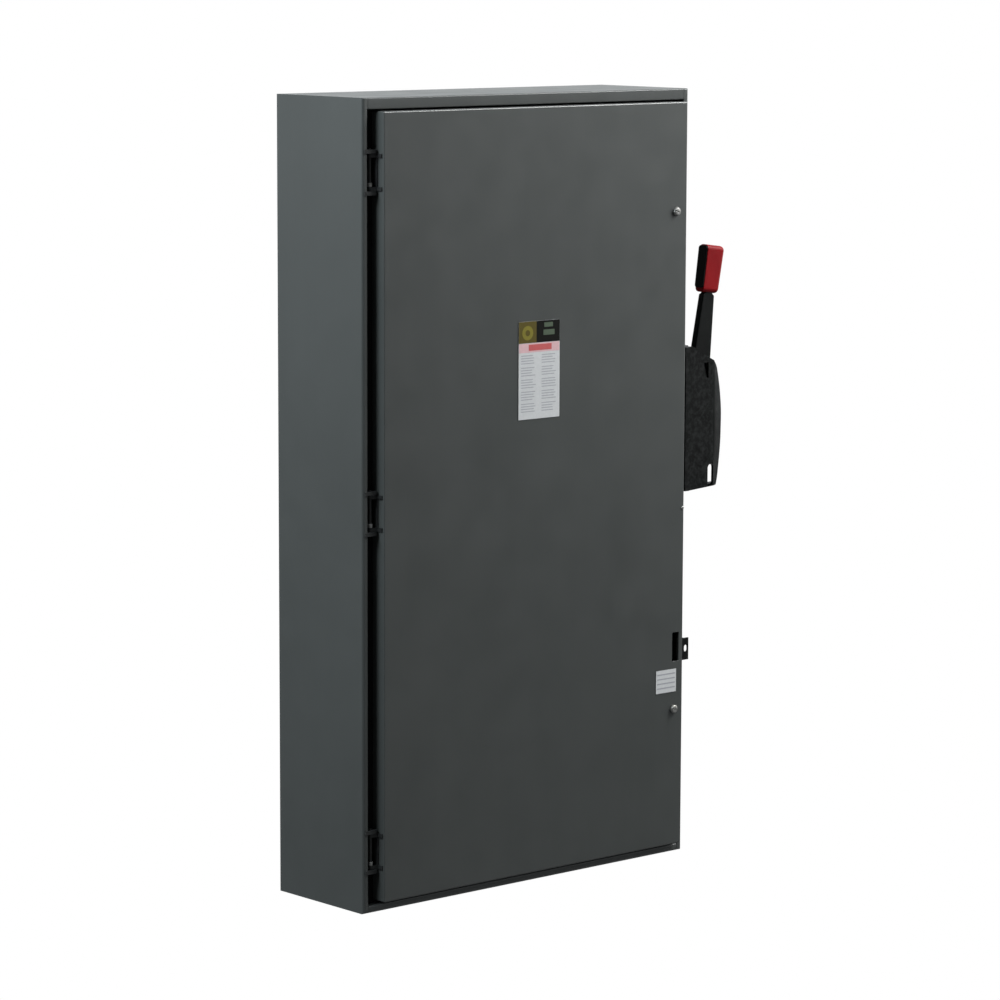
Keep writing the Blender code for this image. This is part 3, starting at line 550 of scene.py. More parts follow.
def hex_head_mesh(radius, height):
    """A hexagon head on a washer face, along -Y from the origin."""
    outline = arc((0, 0), radius, 0, 300, 5)
    head = prism_mesh(outline, "Y", (-height, -height * 0.2))
    washer = [(radius * 1.15, 0.0), (radius * 1.15, height * 0.25)]
    return weld_on(head, lathe_mesh(washer, ORIGIN, TO_USER, 24))


# ---------------------------------------------------------------- enclosure


def sheet_loop(insets, y):
    """The four corners of a rectangle inset from the enclosure's outline."""
    left, right, top, bottom = insets
    x = (LEFT + left, RIGHT - right)
    z = (BOTTOM + bottom, TOP - top)
    return [(x[0], y, z[0]), (x[1], y, z[0]), (x[1], y, z[1]), (x[0], y, z[1])]


def solidified(mesh, thickness):
    """A sheet with its thickness added on the inner side. The mesh is used up."""
    holder = add_object("holder", mesh)
    modifier = holder.modifiers.new("thickness", "SOLIDIFY")
    modifier.thickness = thickness
    modifier.offset = -1
    modifier.use_even_offset = True
    result = as_shown(holder)
    bpy.data.meshes.remove(mesh)
    return result


def enclosure():
    """The wrapper, strips and seal flange as one bent sheet, with corner joints and the link's slot."""
    flange = FRONT + POCKET_DEPTH
    loops = [sheet_loop((0, 0, 0, 0), 0)]
    for angle in (0, 22.5, 45, 67.5, 90):
        a = math.radians(angle)
        insets = [bend * (1 - math.cos(a)) for bend in STRIP_BENDS]
        loops.append(sheet_loop(insets, FRONT + BEND_DEPTH * (1 - math.sin(a))))
    for angle in (0, 30, 60, 90):
        a = math.radians(angle)
        insets = [strip - lip * (1 - math.sin(a)) for strip, lip in zip(STRIPS, STRIP_LIPS)]
        loops.append(sheet_loop(insets, FRONT + LIP_DEPTH * (1 - math.cos(a))))
    loops.append(sheet_loop(STRIPS, flange))
    loops.append(sheet_loop(MOUTH, flange))
    shape = bmesh.new()
    skin(shape, loops, ends=False)
    mesh = solidified(raw_mesh("shell", shape), SHEET)
    half_groove, groove_y = 0.00035, (FRONT - 0.001, FRONT + 0.0007)
    ends = ((TOP - STRIPS[2] - 0.001, TOP - 0.0015), (BOTTOM + 0.003, BOTTOM + STRIPS[3] + 0.001))
    sides = (LEFT + STRIPS[0], RIGHT - STRIPS[1])
    joints = [(around(x + 0.0006, half_groove), groove_y, z) for x in sides for z in ends]
    mesh = carve(mesh, boxes_mesh(joints), box_mesh(*LINK_SLOT))
    node = ["enclosure_shell"]
    piece("enclosure_shell_sheet", mesh, "grey_paint", "root", node, 0.0005, 2, sharp=50, angle=55)


def rear_details():
    """Spot welds round the rear panel's edge, and collars round its four mounting holes."""
    low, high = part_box("rear_panel")
    welds = []
    for i in range(13):
        z = low.z + 0.04 + i * (high.z - low.z - 0.08) / 12
        welds += [(low.x + WELD_INSET, low.y, z), (high.x - WELD_INSET, low.y, z)]
    for i in range(7):
        x = low.x + 0.05 + i * (high.x - low.x - 0.10) / 6
        welds += [(x, low.y, low.z + WELD_INSET), (x, low.y, high.z - WELD_INSET)]
    dimple = [(0.0032, 0.0), (0.0030, 0.00022), (0.0020, 0.0003), (0.0008, 0.00018)]
    nugget = lathe_mesh(dimple, ORIGIN, TO_USER, 16)
    piece("rear_panel_spot_welds", repeated(nugget, welds), "grey_paint", "root", edge=0)
    holes = [(x, low.y, z) for x in WALL_HOLES_X for z in WALL_HOLES_Z]
    ring = [(0.0046, 0.0), (0.0046, 0.0008), (0.0052, 0.0013)]
    ring += [(0.0068, 0.0013), (0.0078, 0.0007), (0.0080, 0.0)]
    shape = bmesh.new()
    rings = [[(x, -along, z) for x, z in arc((0, 0), radius, 0, 345, 23)] for radius, along in ring]
    skin(shape, rings, ends=False, looped=True)
    piece("mounting_hole_collars", repeated(to_mesh("collar", shape), holes), "grey_paint", "root", edge=0)


# ---------------------------------------------------------------- door


def door():
    """The flanged pan with rounded bends, its openings, and the stiffeners and sheet behind its face."""
    size = DOOR_HIGH - DOOR_LOW
    shape = bmesh.new()
    place = Matrix.Translation((DOOR_LOW + DOOR_HIGH) / 2) @ Matrix.Diagonal((*size, 1.0))
    bmesh.ops.create_cube(shape, size=1.0, matrix=place)
    rear = [face for face in shape.faces if face.calc_center_median().y > DOOR_HIGH.y - 0.001]
    bmesh.ops.delete(shape, geom=rear, context="FACES_ONLY")
    bends = [edge for edge in shape.edges if not edge.is_boundary]
    bmesh.ops.bevel(shape, geom=bends, offset=DOOR_BEND, segments=5, profile=0.5, affect="EDGES")
    mesh = solidified(raw_mesh("pan", shape), SHEET)
    hasp_low, hasp_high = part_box("enclosure_hasp")
    tools = [prism_mesh(rounded_rect(HASP_POCKET_X, HASP_POCKET_Z, 0.002), "Y", (FACE - 0.01, FACE + 0.003))]
    slot_z = (hasp_low.z - 0.001, hasp_high.z + 0.001)
    tools.append(box_mesh((RIGHT - 0.018, RIGHT - 0.010), (FRONT - 0.0028, FRONT - 0.0002), slot_z))
    for name in LATCH_NAMES:
        low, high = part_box(f"latch_head_{name}")
        centre = ((low.x + high.x) / 2, FACE - 0.004, (low.z + high.z) / 2)
        tools.append(lathe_mesh([(0.0045, 0.0), (0.0045, 0.01)], centre, TO_WALL, 24))
    mesh = carve(mesh, *tools)
    piece("door_panel_pan", mesh, "grey_paint", "door", ["door_panel"], 0.0003, 2, sharp=40, angle=50)

    behind = FACE + SHEET
    wall, rise, run, foot, brim = 0.0012, 0.010, 0.005, 0.020, 0.034
    spread = wall * math.tan(math.atan2(rise, run) / 2)
    near = [(-brim, 0.0), (-foot, 0.0), (-foot + run, rise), (foot - run, rise), (foot, 0.0), (brim, 0.0)]
    moves = (0.0, -spread, -spread, spread, spread, 0.0)
    far = [(across + move, depth + wall) for (across, depth), move in zip(near, moves)]
    for number, z in enumerate((0.33, -0.20), 1):
        outline = [(behind + depth, z + across) for across, depth in near + far[::-1]]
        hat = prism_mesh(outline, "X", (DOOR_LOW.x + 0.030, DOOR_HIGH.x - 0.062))
        piece(f"door_stiffener_{number}", hat, "grey_paint", "door", edge=0.0003)
    sheet_x, sheet_z = (-0.14, 0.07), (-0.10, 0.17)
    sheet = prism_mesh(rounded_rect(sheet_x, sheet_z, 0.004), "Y", (behind + 0.0001, behind + 0.0005))
    piece("door_inner_sheet", sheet, "label", "door", edge=0)
    rows = []
    pick = random.Random(11)
    for i in range(26):
        z = sheet_z[1] - 0.016 - i * 0.0092
        if i % 7 == 6:
            continue
        for start, full in ((sheet_x[0] + 0.012, 0.088), (sheet_x[0] + 0.112, 0.086)):
            length = full * pick.uniform(0.6, 1.0)
            rows.append(((start, start + length), (behind + 0.0004, behind + 0.0006), around(z, 0.0016)))
    piece("door_inner_sheet_rows", boxes_mesh(rows), INKS["grey"], "door", edge=0, slot="label")


def edge_screw():
    x, z = EDGE_SCREW
    head = repeated(pan_head_mesh(0.0028, 0.0016), [(x, FACE, z)], Matrix.Rotation(0.6, 4, "Y"))
    piece("door_edge_screw", head, DULL_ZINC, "door", edge=0.0001, slot="plated_steel")


def latch_heads():
    """Domed round heads with a coin slot and a stepped rim."""
    for name in LATCH_NAMES:
        low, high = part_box(f"latch_head_{name}")
        x, z = (low.x + high.x) / 2, (low.z + high.z) / 2
        radius = (high.x - low.x) / 2
        tall = FACE - low.y
        gap = 0.0003
        profile = [(0.0040, high.y - FACE), (0.0040, -gap), (radius * 0.94, -gap), (radius, -gap - 0.0006)]
        profile += [(radius, -tall * 0.45), (radius * 0.93, -tall * 0.70), (radius * 0.80, -tall * 0.90)]
        profile += [(radius * 0.62, -tall * 0.98), (radius * 0.30, -tall)]
        mesh = lathe_mesh([(r, -along) for r, along in profile], (x, FACE, z), TO_USER, 40)
        slot = box_mesh(around(x, 0.010), (low.y - 0.002, low.y + 0.0021), around(z, 0.0009))
        turn = Matrix.Translation((x, 0, z)) @ Matrix.Rotation(math.radians(20), 4, "Y")
        slot.transform(turn @ Matrix.Translation((-x, 0, -z)))
        mesh = carve(mesh, slot)
        node = f"latch_head_{name}"
        piece(f"{node}_turned", mesh, DULL_ZINC, f"{name}_latch", [node], 0.00012, 2, slot="plated_steel")


def hinge_pins():
    """Dark pins with a bright collar above the lower ear."""
    for name in HINGES:
        low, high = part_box(f"hinge_pin_{name}")
        x, y = (low.x + high.x) / 2, (low.y + high.y) / 2
        length = high.z - low.z
        radius, chamfer = 0.0025, 0.0007
        profile = [(radius - chamfer, 0.0), (radius, chamfer)]
        profile += [(radius, length - chamfer), (radius - chamfer, length)]
        mesh = lathe_mesh(profile, (x, y, low.z), UP, 24)
        node = f"hinge_pin_{name}"
        piece(f"{node}_rod", mesh, HINGE_PAINT, "root", [node], edge=0, slot="black_paint")
        leaf_low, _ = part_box(f"hinge_door_leaf_{name}")
        start = leaf_low.z + 0.0063
        ring = [(0.0026, 0.0), (0.0038, 0.0), (0.0042, 0.0005)]
        ring += [(0.0042, 0.0055), (0.0038, 0.006), (0.0026, 0.006)]
        collar = lathe_mesh(ring, (x, y, start), UP, 28)
        piece(f"{node}_collar", collar, DULL_ZINC, "root", edge=0, slot="plated_steel")


# ---------------------------------------------------------------- labels


def label_slabs(name, rects, box, ink, layer=PRINT):
    """Thin printed areas on a label. Each rect is (left, right, top, bottom) as shares of the label."""
    low, high = box
    wide, tall = high.x - low.x, high.z - low.z
    spans = []
    for left, right, top, bottom in rects:
        x = (low.x + left * wide, low.x + right * wide)
        z = (high.z - bottom * tall, high.z - top * tall)
        spans.append((x, (low.y + layer[0], low.y + layer[1]), z))
    piece(name, boxes_mesh(spans), INKS[ink], "door", edge=0, slot="label")


def text_rows(columns, top, bottom, pitch, height, seed):
    """Grey bars that stand for lines of text, with a gap after each paragraph."""
    pick = random.Random(seed)
    rects = []
    for left, right in columns:
        y, line = top, 0
        while y < bottom:
            line += 1
            if line % 5 == 0:
                y += pitch * 0.7
                continue
            rects.append((left, left + (right - left) * pick.uniform(0.72, 1.0), y, y + height))
            y += pitch
    return rects


def main_label():
    """Two panels, a disc and bars at the top, a band below them, and rows that stand for text."""
    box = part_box("main_label")
    label_slabs("label_ochre_panel", [(0.002, 0.43, 0.001, 0.222)], box, "ochre")
    label_slabs("label_dark_panel", [(0.43, 0.998, 0.001, 0.222)], box, "black")
    low, high = box
    wide, tall = high.x - low.x, high.z - low.z
    centre = (low.x + 0.215 * wide, high.z - 0.118 * tall)
    y = (low.y + OVERPRINT[0], low.y + OVERPRINT[1])
    disc = prism_mesh(arc(centre, 0.0115, 0, 350, 35), "Y", y)
    piece("label_disc", disc, INKS["yellow"], "door", edge=0, slot="label")
    dot = prism_mesh(arc(centre, 0.0050, 0, 350, 35), "Y", (low.y - 0.00034, low.y - 0.0002))
    piece("label_disc_centre", dot, INKS["ochre"], "door", edge=0, slot="label")
    bars = [(0.62, 0.83, 0.022, 0.068), (0.60, 0.87, 0.095, 0.150)]
    label_slabs("label_green_bars", bars, box, "green", OVERPRINT)
    label_slabs("label_pink_band", [(0.01, 0.99, 0.226, 0.318)], box, "pink")
    label_slabs("label_red_bar", [(0.24, 0.80, 0.238, 0.300)], box, "red", OVERPRINT)
    columns = ((0.06, 0.42), (0.56, 0.92))
    label_slabs("label_text_rows", text_rows(columns, 0.345, 0.955, 0.0262, 0.0085, 3), box, "grey")


def rating_label():
    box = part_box("rating_label")
    rows = [(0.06, 0.94, top, top + 0.055) for top in (0.16, 0.36, 0.56, 0.76)]
    label_slabs("rating_label_rows", rows, box, "grey")


# ---------------------------------------------------------------- handle


def smoothed(points, per_span):
    """A Catmull-Rom curve through the points."""
    padded = [points[0], *points, points[-1]]
    found = []
    for a, b, c, d in zip(padded, padded[1:], padded[2:], padded[3:]):
        for i in range(per_span):
            t = i / per_span
            weights = (
                -0.5 * t**3 + t**2 - 0.5 * t,
                1.5 * t**3 - 2.5 * t**2 + 1,
                -1.5 * t**3 + 2 * t**2 + 0.5 * t,
                0.5 * t**3 - 0.5 * t**2,
            )
            found.append(tuple(sum(w * p[k] for w, p in zip(weights, (a, b, c, d))) for k in (0, 1)))
    return [*found, points[-1]]


def housing_section(share, inset):
    """A D-shaped section. share runs from 0 at the flat front to 1 at the rim."""
    low, high = HOUSING_PROFILE[0][0], HOUSING_PROFILE[-1][0]
    middle = (low + high) / 2
    shrink = 1 - 2 * inset / (high - low)
    flat_x = RIGHT + HOUSING_FLAT - inset
    left = RIGHT + 0.0003 + inset
    side = []
    for z, reach in smoothed(HOUSING_PROFILE, 3):
        x = RIGHT + reach - inset
        side.append((flat_x + (x - flat_x) * share, middle + (z - middle) * shrink))
    shoulder = (RIGHT + 0.012, HOUSING_Z[1] - inset)
    return [(left, HOUSING_Z[0] + inset), *side, shoulder, (left, HOUSING_Z[1] - inset)]


def housing_mesh(layers, inset):
    """A closed loft through D sections, each layer (y, share)."""
    shape = bmesh.new()
    skin(shape, [[(x, y, z) for x, z in housing_section(share, inset)] for y, share in layers])
    return to_mesh("housing", shape)


def padlock_slot_mesh(y, x):
    """An upright slot with round ends."""
    half_width, half_height, middle = 0.0065, 0.012, -0.0055
    outline = [*arc((x, middle - half_height), half_width, 180, 360, 10)]
    outline += arc((x, middle + half_height), half_width, 0, 180, 10)
    return prism_mesh(outline, "Y", y)


def handle_cover():
    """The cast cover: flat in front, rolling off to a bulging rim, hollow behind, with two openings."""
    front, rim = COVER_LOW.y, COVER_HIGH.y
    steps = 9
    layers = []
    for i in range(steps + 1):
        share = i / steps
        layers.append((front + (rim - front) * share, math.sin(share * math.pi / 2) ** 0.8))
    mesh = housing_mesh(layers, 0.0)
    mesh = carve(mesh, housing_mesh([(y + CASTING, share) for y, share in layers], CASTING))
    mesh = weld_on(mesh, box_mesh((RIGHT - 0.0052, RIGHT + 0.004), (front, FRONT - 0.0003), HOUSING_Z))
    window = [(0.036, 0.184), (0.0475, 0.184), (0.0475, 0.158), (0.0430, 0.158)]
    outline = [(RIGHT + x, z) for x, z in window]
    through = (front - 0.005, front + 0.006)
    mesh = carve(mesh, prism_mesh(outline, "Y", through), padlock_slot_mesh(through, RIGHT + 0.0540))
    node = ["handle_cover"]
    look = {"edge": 0.0011, "segments": 3, "sharp": 32, "angle": 38, "dissolve": False}
    piece("handle_cover_casting", mesh, "black_paint", "root", node, **look)


def lever():
    """A forged lever with well-rounded edges and a hole for its pivot pin."""
    low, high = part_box("handle_lever")
    hub = arc((0, 0), 0.020, 180, 360, 28)
    side = [(0.0195, 0.100), (0.0185, 0.120), (0.0130, 0.203), (0.0085, 0.2055), (0.0085, 0.262)]
    outline = [*hub, *side, *((-x, z) for x, z in reversed(side))]
    mesh = prism_mesh(outline, "Y", (low.y, high.y))
    mesh = carve(mesh, lathe_mesh([(0.0063, 0.0), (0.0063, 0.04)], (0, low.y - 0.01, 0), TO_WALL, 28))
    mesh.transform(handle_place())
    node = ["handle_lever"]
    piece("handle_lever_forging", mesh, "black_paint", "handle", node, 0.0021, 4, sharp=40, angle=40)


def handle_place():
    """The turn and shift from the upright handle at the origin to its place at rest."""
    return Matrix.Translation((PIVOT.x, 0, PIVOT.z)) @ Matrix.Rotation(LEVER_LEAN, 4, "Y")


def grip():
    """A red moulded cap with a full, rounded form, and the black core that shows down its left side."""
    low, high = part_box("grip_cap")
    y = (low.y, high.y)
    x, z = (-0.0182, 0.0232), (0.2065, 0.286)
    shape = bmesh.new()
    centre = Vector((sum(x) / 2, sum(y) / 2, sum(z) / 2))
    size = (x[1] - x[0], y[1] - y[0], z[1] - z[0])
    bmesh.ops.create_cube(shape, size=1.0, matrix=Matrix.Translation(centre) @ Matrix.Diagonal((*size, 1.0)))
    rounded = [e for e in shape.edges if sum(v.co.x for v in e.verts) / 2 > x[0] + 0.001]
    bmesh.ops.bevel(shape, geom=rounded, offset=0.0080, segments=7, profile=0.5, affect="EDGES")
    for vertex in shape.verts:
        share = min(1.0, (vertex.co.z - z[0]) / (z[1] - z[0]))
        waist = 1 - 0.09 * (1 - share) ** 1.5
        vertex.co.x = x[0] + (vertex.co.x - x[0]) * waist
        vertex.co.y = centre.y + (vertex.co.y - centre.y) * (1 - 0.08 * (1 - share))
    cap = to_mesh("cap", shape)
    cap.transform(handle_place())
    piece("grip_cap_moulding", cap, "grip_red", "handle", ["grip_cap"], 0.0009, 3, sharp=60, angle=50)
    section = rounded_rect((y[0] + 0.0010, y[1] - 0.0010), (0.2135, 0.284), 0.0045, 6)
    core = prism_mesh(section, "X", (-0.0205, -0.0184))
    core.transform(handle_place())
    piece("grip_core_moulding", core, "grip_black", "handle", ["grip_core"], 0.0007, 3)


# ---------------------------------------------------------------- switch interior


def fuses():
    """Cartridge fuses: a fibre tube, two crimped caps with knife blades, and a striped paper band."""
    for pole in POLES:
        low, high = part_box(f"fuse_{pole}")
        x, y = (low.x + high.x) / 2, (low.y + high.y) / 2
        radius = (high.x - low.x) / 2
        cap_low, cap_high = low.z + 0.038, high.z - 0.038
        tube = [(radius * 0.905, 0.0), (radius * 0.905, cap_high - cap_low - 0.02)]
        mesh = lathe_mesh(tube, (x, y, cap_low + 0.01), UP, 48)
        piece(f"fuse_{pole}_tube", mesh, "fuse_tube", "root", [f"fuse_{pole}"], edge=0)
        ring = [(0.5, 0.0), (0.94, 0.0), (1.0, 0.0022), (1.0, 0.020), (0.975, 0.0215)]
        ring += [(0.975, 0.0235), (1.0, 0.025), (1.0, 0.0315), (0.96, 0.032), (0.90, 0.032)]
        ring = [(radius * across, along) for across, along in ring]
        caps = joined(lathe_mesh(ring, (x, y, z), way, 48) for z, way in ((cap_low, UP), (cap_high, DOWN)))
        piece(f"fuse_{pole}_caps", caps, "copper", "root", edge=0)
        reaches = ((low.z, cap_low + 0.004), (cap_high - 0.004, high.z))
        blades = [(around(x, 0.003), around(y, 0.018), reach) for reach in reaches]
        piece(f"fuse_{pole}_knife_blades", boxes_mesh(blades), "copper", "root", edge=0.0007)
        band = radius * 0.905 + 0.0002
        middle = (cap_low + cap_high) / 2
        wrap = [(band - 0.0006, -0.036), (band, -0.036), (band, 0.036), (band - 0.0006, 0.036)]
        piece(f"fuse_{pole}_band", lathe_mesh(wrap, (x, y, middle), UP, 48), "label", "root", edge=0)
        stripe = band + 0.0001
        rows = []
        for z in (-0.024, 0.020):
            ring = [(stripe - 0.0005, z), (stripe, z), (stripe, z + 0.006), (stripe - 0.0005, z + 0.006)]
            rows.append(lathe_mesh(ring, (x, y, middle), UP, 48))
        piece(f"fuse_{pole}_stripes", joined(rows), INKS["grey"], "root", edge=0, slot="label")


def arc_plates():
    """Steel splitter plates either side of each blade's path through its arc chute."""
    for pole in POLES:
        low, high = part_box(f"arc_chute_{pole}")
        x = (low.x + high.x) / 2
        spans = []
        for i in range(7):
            z = low.z + 0.004 + i * 0.0060
            for side in (-1, 1):
                across = sorted((x + side * 0.0052, x + side * 0.0102))
                spans.append((across, (low.y + 0.003, high.y - 0.014), around(z, 0.0007)))
        piece(f"arc_plates_{pole}", boxes_mesh(spans), "plated_steel", "root", edge=0.0002)


def lug_screws():
    """Socket set screws in the line and load lugs."""
    sockets = []
    for node in [f"line_lug_{p}" for p in POLES] + [f"load_terminal_{p}" for p in POLES]:
        low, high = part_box(node)
        line = node.startswith("line")
        z = (low.z + high.z) / 2 if line else low.z + 0.0255
        sockets.append(((low.x + high.x) / 2, low.y, z))
    profile = [(0.0062, 0.0), (0.0062, 0.0008), (0.0056, 0.0012)]
    socket = prism_mesh(arc((0, 0), 0.0038, 0, 300, 5), "Y", (-0.01, -0.0004))
    head = carve(lathe_mesh(profile, ORIGIN, TO_USER, 28), socket)
    piece("lug_set_screws", repeated(head, sockets), "plated_steel", "root", edge=0.0001)


def base_screws():
    """Hexagon screws with washers on the bases, and slotted screws that hold the mounting pan."""
    places = []
    for node in ("line_base", "load_base"):
        low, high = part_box(node)
        tops = (high.z - 0.013,) if node == "load_base" else (high.z - 0.016, low.z + 0.014)
        places += [(x, BASE_SCREW_Y, z) for x in (low.x + 0.013, high.x - 0.013) for z in tops]
    piece("base_screws", repeated(hex_head_mesh(0.0058, 0.0052), places), "plated_steel", "root", edge=0.0003)
    low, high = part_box("mounting_pan")
    corners = [(x, low.y, z) for x in (low.x + 0.018, high.x - 0.018) for z in (low.z + 0.02, high.z - 0.02)]
    piece("pan_screws", repeated(pan_head_mesh(0.0058, 0.0034), corners), "plated_steel", "root", edge=0.0002)


def copper_bolts():
    """Two bolts through the copper pad of each hinge terminal."""
    places = []
    for pole in POLES:
        low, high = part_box(f"hinge_terminal_{pole}")
        x = (low.x + high.x) / 2
        places += [(x, high.y - 0.008, z) for z in TERMINAL_BOLTS_Z]
    bolts = repeated(hex_head_mesh(0.0056, 0.0045), places)
    piece("terminal_bolts", bolts, "plated_steel", "root", edge=0.0003)


def springs():
    """The crossbar's return spring, as a smooth coil of round wire."""
    low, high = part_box("crossbar_spring")
    y, z = (low.y + high.y) / 2, (low.z + high.z) / 2
    wire = 0.0011
    radius = (high.z - low.z) / 2 - wire
    turns, per_turn = 4, 20
    curve = bpy.data.curves.new("crossbar_spring_coil", "CURVE")
    curve.dimensions = "3D"
    curve.bevel_depth = wire
    curve.bevel_resolution = 3
    curve.use_fill_caps = True
    spline = curve.splines.new("POLY")
    count = turns * per_turn
    spline.points.add(count)
    start, end = low.x + wire, high.x - wire
    for i, point in enumerate(spline.points):
        angle = 2 * math.pi * i / per_turn
        x = start + (end - start) * i / count
        point.co = (x, y + radius * math.cos(angle), z + radius * math.sin(angle), 1)
    mesh = as_shown(add_object("holder", curve))
    node = ["crossbar_spring"]
    piece("crossbar_spring_coil", mesh, "plated_steel", "blade_carrier", node, edge=0, sharp=80)


def mechanism_details():
    """Rivets on the side plate, and two screws beside each blade on the crossbar."""
    _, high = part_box("mechanism_plate")
    dome = [(0.0040, 0.0), (0.0038, 0.0010), (0.0026, 0.0019), (0.0010, 0.0022)]
    rivet = lathe_mesh(dome, ORIGIN, (1, 0, 0), 20)
    places = [(high.x, y, z) for y, z in PLATE_RIVETS]
    piece("mechanism_rivets", repeated(rivet, places), "plated_steel", "root", edge=0)
    places = []
    for pole in POLES:
        blade_low, blade_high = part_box(f"blade_{pole}")
        x = (blade_low.x + blade_high.x) / 2
        places += [(x + side * 0.012, CROSSBAR_SCREW_Y, CROSSBAR_SCREW_Z) for side in (-1, 1)]
    screws = repeated(pan_head_mesh(0.0040, 0.0024), places)
    piece("crossbar_screws", screws, "plated_steel", "blade_carrier", edge=0.0001)


def ground_screws():
    low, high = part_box("ground_bar")
    places = [(low.x + 0.014 + 0.028 * i, low.y, (low.z + high.z) / 2) for i in range(5)]
    screws = repeated(pan_head_mesh(0.0049, 0.0018), places)
    piece("ground_bar_screw_heads", screws, "plated_steel", "root", edge=0.0001)


def paint_cad_nodes():
    """Every CAD node but the hinge leaves gets its slot's material, the hinge leaves a powder coat of their own,
    and all get small rounded edges.
    """
    widths = {
        "rear_panel": 0.0004, "door_seal": 0.0015, "main_label": 0.0, "rating_label": 0.0,
        "line_base": 0.0014, "load_base": 0.0014, "crossbar": 0.0012, "handle_bracket": 0.0010,
    }
    for name, node in frame["nodes"].items():
        node.data.materials.clear()
        is_hinge = name.startswith(("hinge_frame", "hinge_door"))
        node.data.materials.append(HINGE_PAINT if is_hinge else MATERIALS[SLOT_OF[name]])
        node.data.shade_smooth()
        node.data.set_sharp_from_angle(angle=math.radians(32))
        soften(node, widths.get(name, 0.0005), dissolve=not is_hinge and name != "handle_bracket")


# ---------------------------------------------------------------- stage


def split_by_ray(tree, lit, seen, output):
    """seen is what the camera sees directly, and lit is what every other ray meets."""
    path = tree.nodes.new("ShaderNodeLightPath")
    blend = tree.nodes.new("ShaderNodeMixShader")
    tree.links.new(path.outputs["Is Camera Ray"], blend.inputs["Fac"])
    tree.links.new(lit, blend.inputs[1])
    tree.links.new(seen, blend.inputs[2])
    tree.links.new(blend.outputs["Shader"], tree.nodes[output].inputs["Surface"])


def floor():
    """A floor well below the box: dull grey to every ray except the camera's own, which sees white."""
    shape = bmesh.new()
    bmesh.ops.create_grid(shape, x_segments=1, y_segments=1, size=30.0)
    mesh = raw_mesh("floor", shape)
    obj = add_object("floor", mesh)
    obj.location = (0, 0, BOTTOM - 0.9)
    material = bpy.data.materials.new("floor_white")
    material.use_nodes = True
    tree = material.node_tree
    shader = tree.nodes["Principled BSDF"]
    shader.inputs["Base Color"].default_value = (0.14, 0.14, 0.14, 1)
    shader.inputs["Roughness"].default_value = 0.9
    glow = tree.nodes.new("ShaderNodeEmission")
    split_by_ray(tree, shader.outputs["BSDF"], glow.outputs["Emission"], "Material Output")
    mesh.materials.append(material)


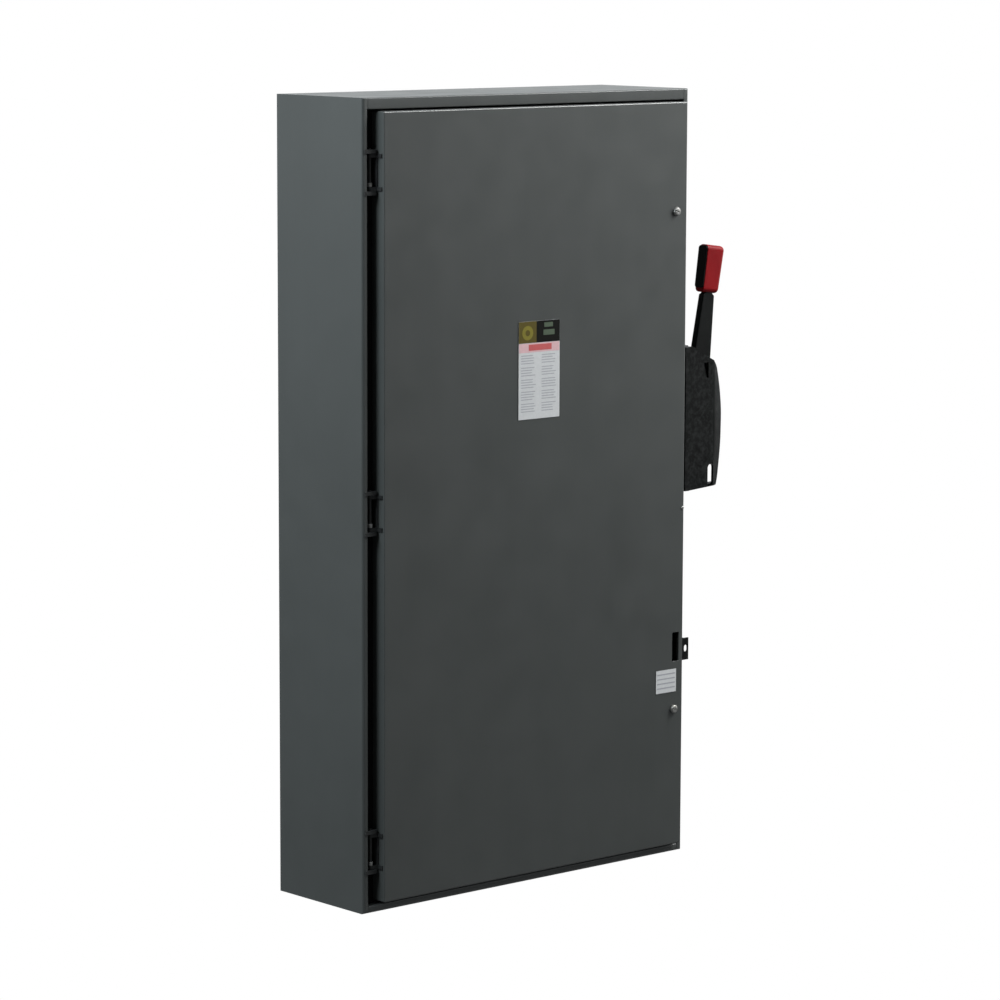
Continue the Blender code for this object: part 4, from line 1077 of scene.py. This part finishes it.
def sky():
    """A white studio, dark behind the camera and below the horizon, and pure white to the camera."""
    world = bpy.data.worlds.new("studio")
    bpy.context.scene.world = world
    world.use_nodes = True
    tree = world.node_tree

    def add(kind, **inputs):
        made = tree.nodes.new(kind)
        for socket, value in inputs.items():
            socket = socket.replace("_", " ")
            if isinstance(value, bpy.types.NodeSocket):
                tree.links.new(value, made.inputs[socket])
            else:
                made.inputs[socket].default_value = value
        return made

    direction = tree.nodes.new("ShaderNodeTexCoord").outputs["Generated"]
    facing = tree.nodes.new("ShaderNodeVectorMath")
    facing.operation = "DOT_PRODUCT"
    tree.links.new(direction, facing.inputs[0])
    facing.inputs[1].default_value = (-0.66, -0.75, 0.0)
    fade = {"From_Min": 0.05, "From_Max": 0.75, "To_Min": 0.90, "To_Max": 0.05}
    away = add("ShaderNodeMapRange", Value=facing.outputs["Value"], **fade)
    height = add("ShaderNodeSeparateXYZ", Vector=direction).outputs["Z"]
    raised = add("ShaderNodeMapRange", Value=height, From_Min=-0.22, From_Max=-0.03, To_Min=0.12, To_Max=1.0)
    strength = tree.nodes.new("ShaderNodeMath")
    strength.operation = "MULTIPLY"
    tree.links.new(away.outputs["Result"], strength.inputs[0])
    tree.links.new(raised.outputs["Result"], strength.inputs[1])
    fill = tree.nodes["Background"]
    fill.inputs["Color"].default_value = (0.95, 0.98, 1.0, 1)
    tree.links.new(strength.outputs[0], fill.inputs["Strength"])
    white = add("ShaderNodeBackground", Color=(1, 1, 1, 1), Strength=1.0)
    split_by_ray(tree, fill.outputs["Background"], white.outputs["Background"], "World Output")


def lamp(name, place, target, size, power, colour=(1, 1, 1)):
    """A soft rectangular light aimed at a point."""
    data = bpy.data.lights.new(name, "AREA")
    data.shape = "RECTANGLE"
    data.size, data.size_y = size
    data.energy = power
    data.color = colour
    obj = add_object(name, data)
    obj.location = place
    obj.rotation_euler = (Vector(target) - Vector(place)).to_track_quat("-Z", "Y").to_euler()


def camera():
    """The reference view: 41 degrees to the left of the door's normal, 8 degrees above it."""
    yaw, pitch, roll = math.radians(41.409), math.radians(-8.049), math.radians(0.193)
    data = bpy.data.cameras.new("camera")
    data.sensor_width = 36.0
    data.lens = 140.97
    data.clip_end = 100.0
    obj = add_object("camera", data)
    forward = Vector((math.sin(yaw) * math.cos(pitch), math.cos(yaw) * math.cos(pitch), math.sin(pitch)))
    right = Vector((math.cos(yaw), -math.sin(yaw), 0.0))
    up = right.cross(forward)
    tilted_right = right * math.cos(roll) + up * math.sin(roll)
    tilted_up = up * math.cos(roll) - right * math.sin(roll)
    turn = Matrix((tilted_right, tilted_up, -forward)).transposed()
    place = (-4.1504, -4.8447, 0.8675)
    obj.matrix_world = Matrix.Translation(place) @ turn.to_4x4()
    bpy.context.scene.camera = obj


def studio():
    bpy.context.scene.view_settings.view_transform = "Standard"
    floor()
    sky()
    lamp("left_top", (-2.3, -0.2, 1.7), (-0.35, -0.1, 0.3), (1.0, 1.0), 84, (0.86, 0.94, 1.0))
    lamp("right_top", (1.8, -1.3, 2.0), (0.05, -0.2, 0.3), (1.0, 1.0), 106)
    lamp("rim_right", (2.4, -0.8, 0.5), (0.4, -0.2, 0.1), (0.6, 1.6), 12)


camera()
paint_cad_nodes()
enclosure()
rear_details()
door()
edge_screw()
latch_heads()
hinge_pins()
main_label()
rating_label()
handle_cover()
lever()
grip()
fuses()
arc_plates()
lug_screws()
base_screws()
copper_bolts()
springs()
mechanism_details()
ground_screws()
studio()
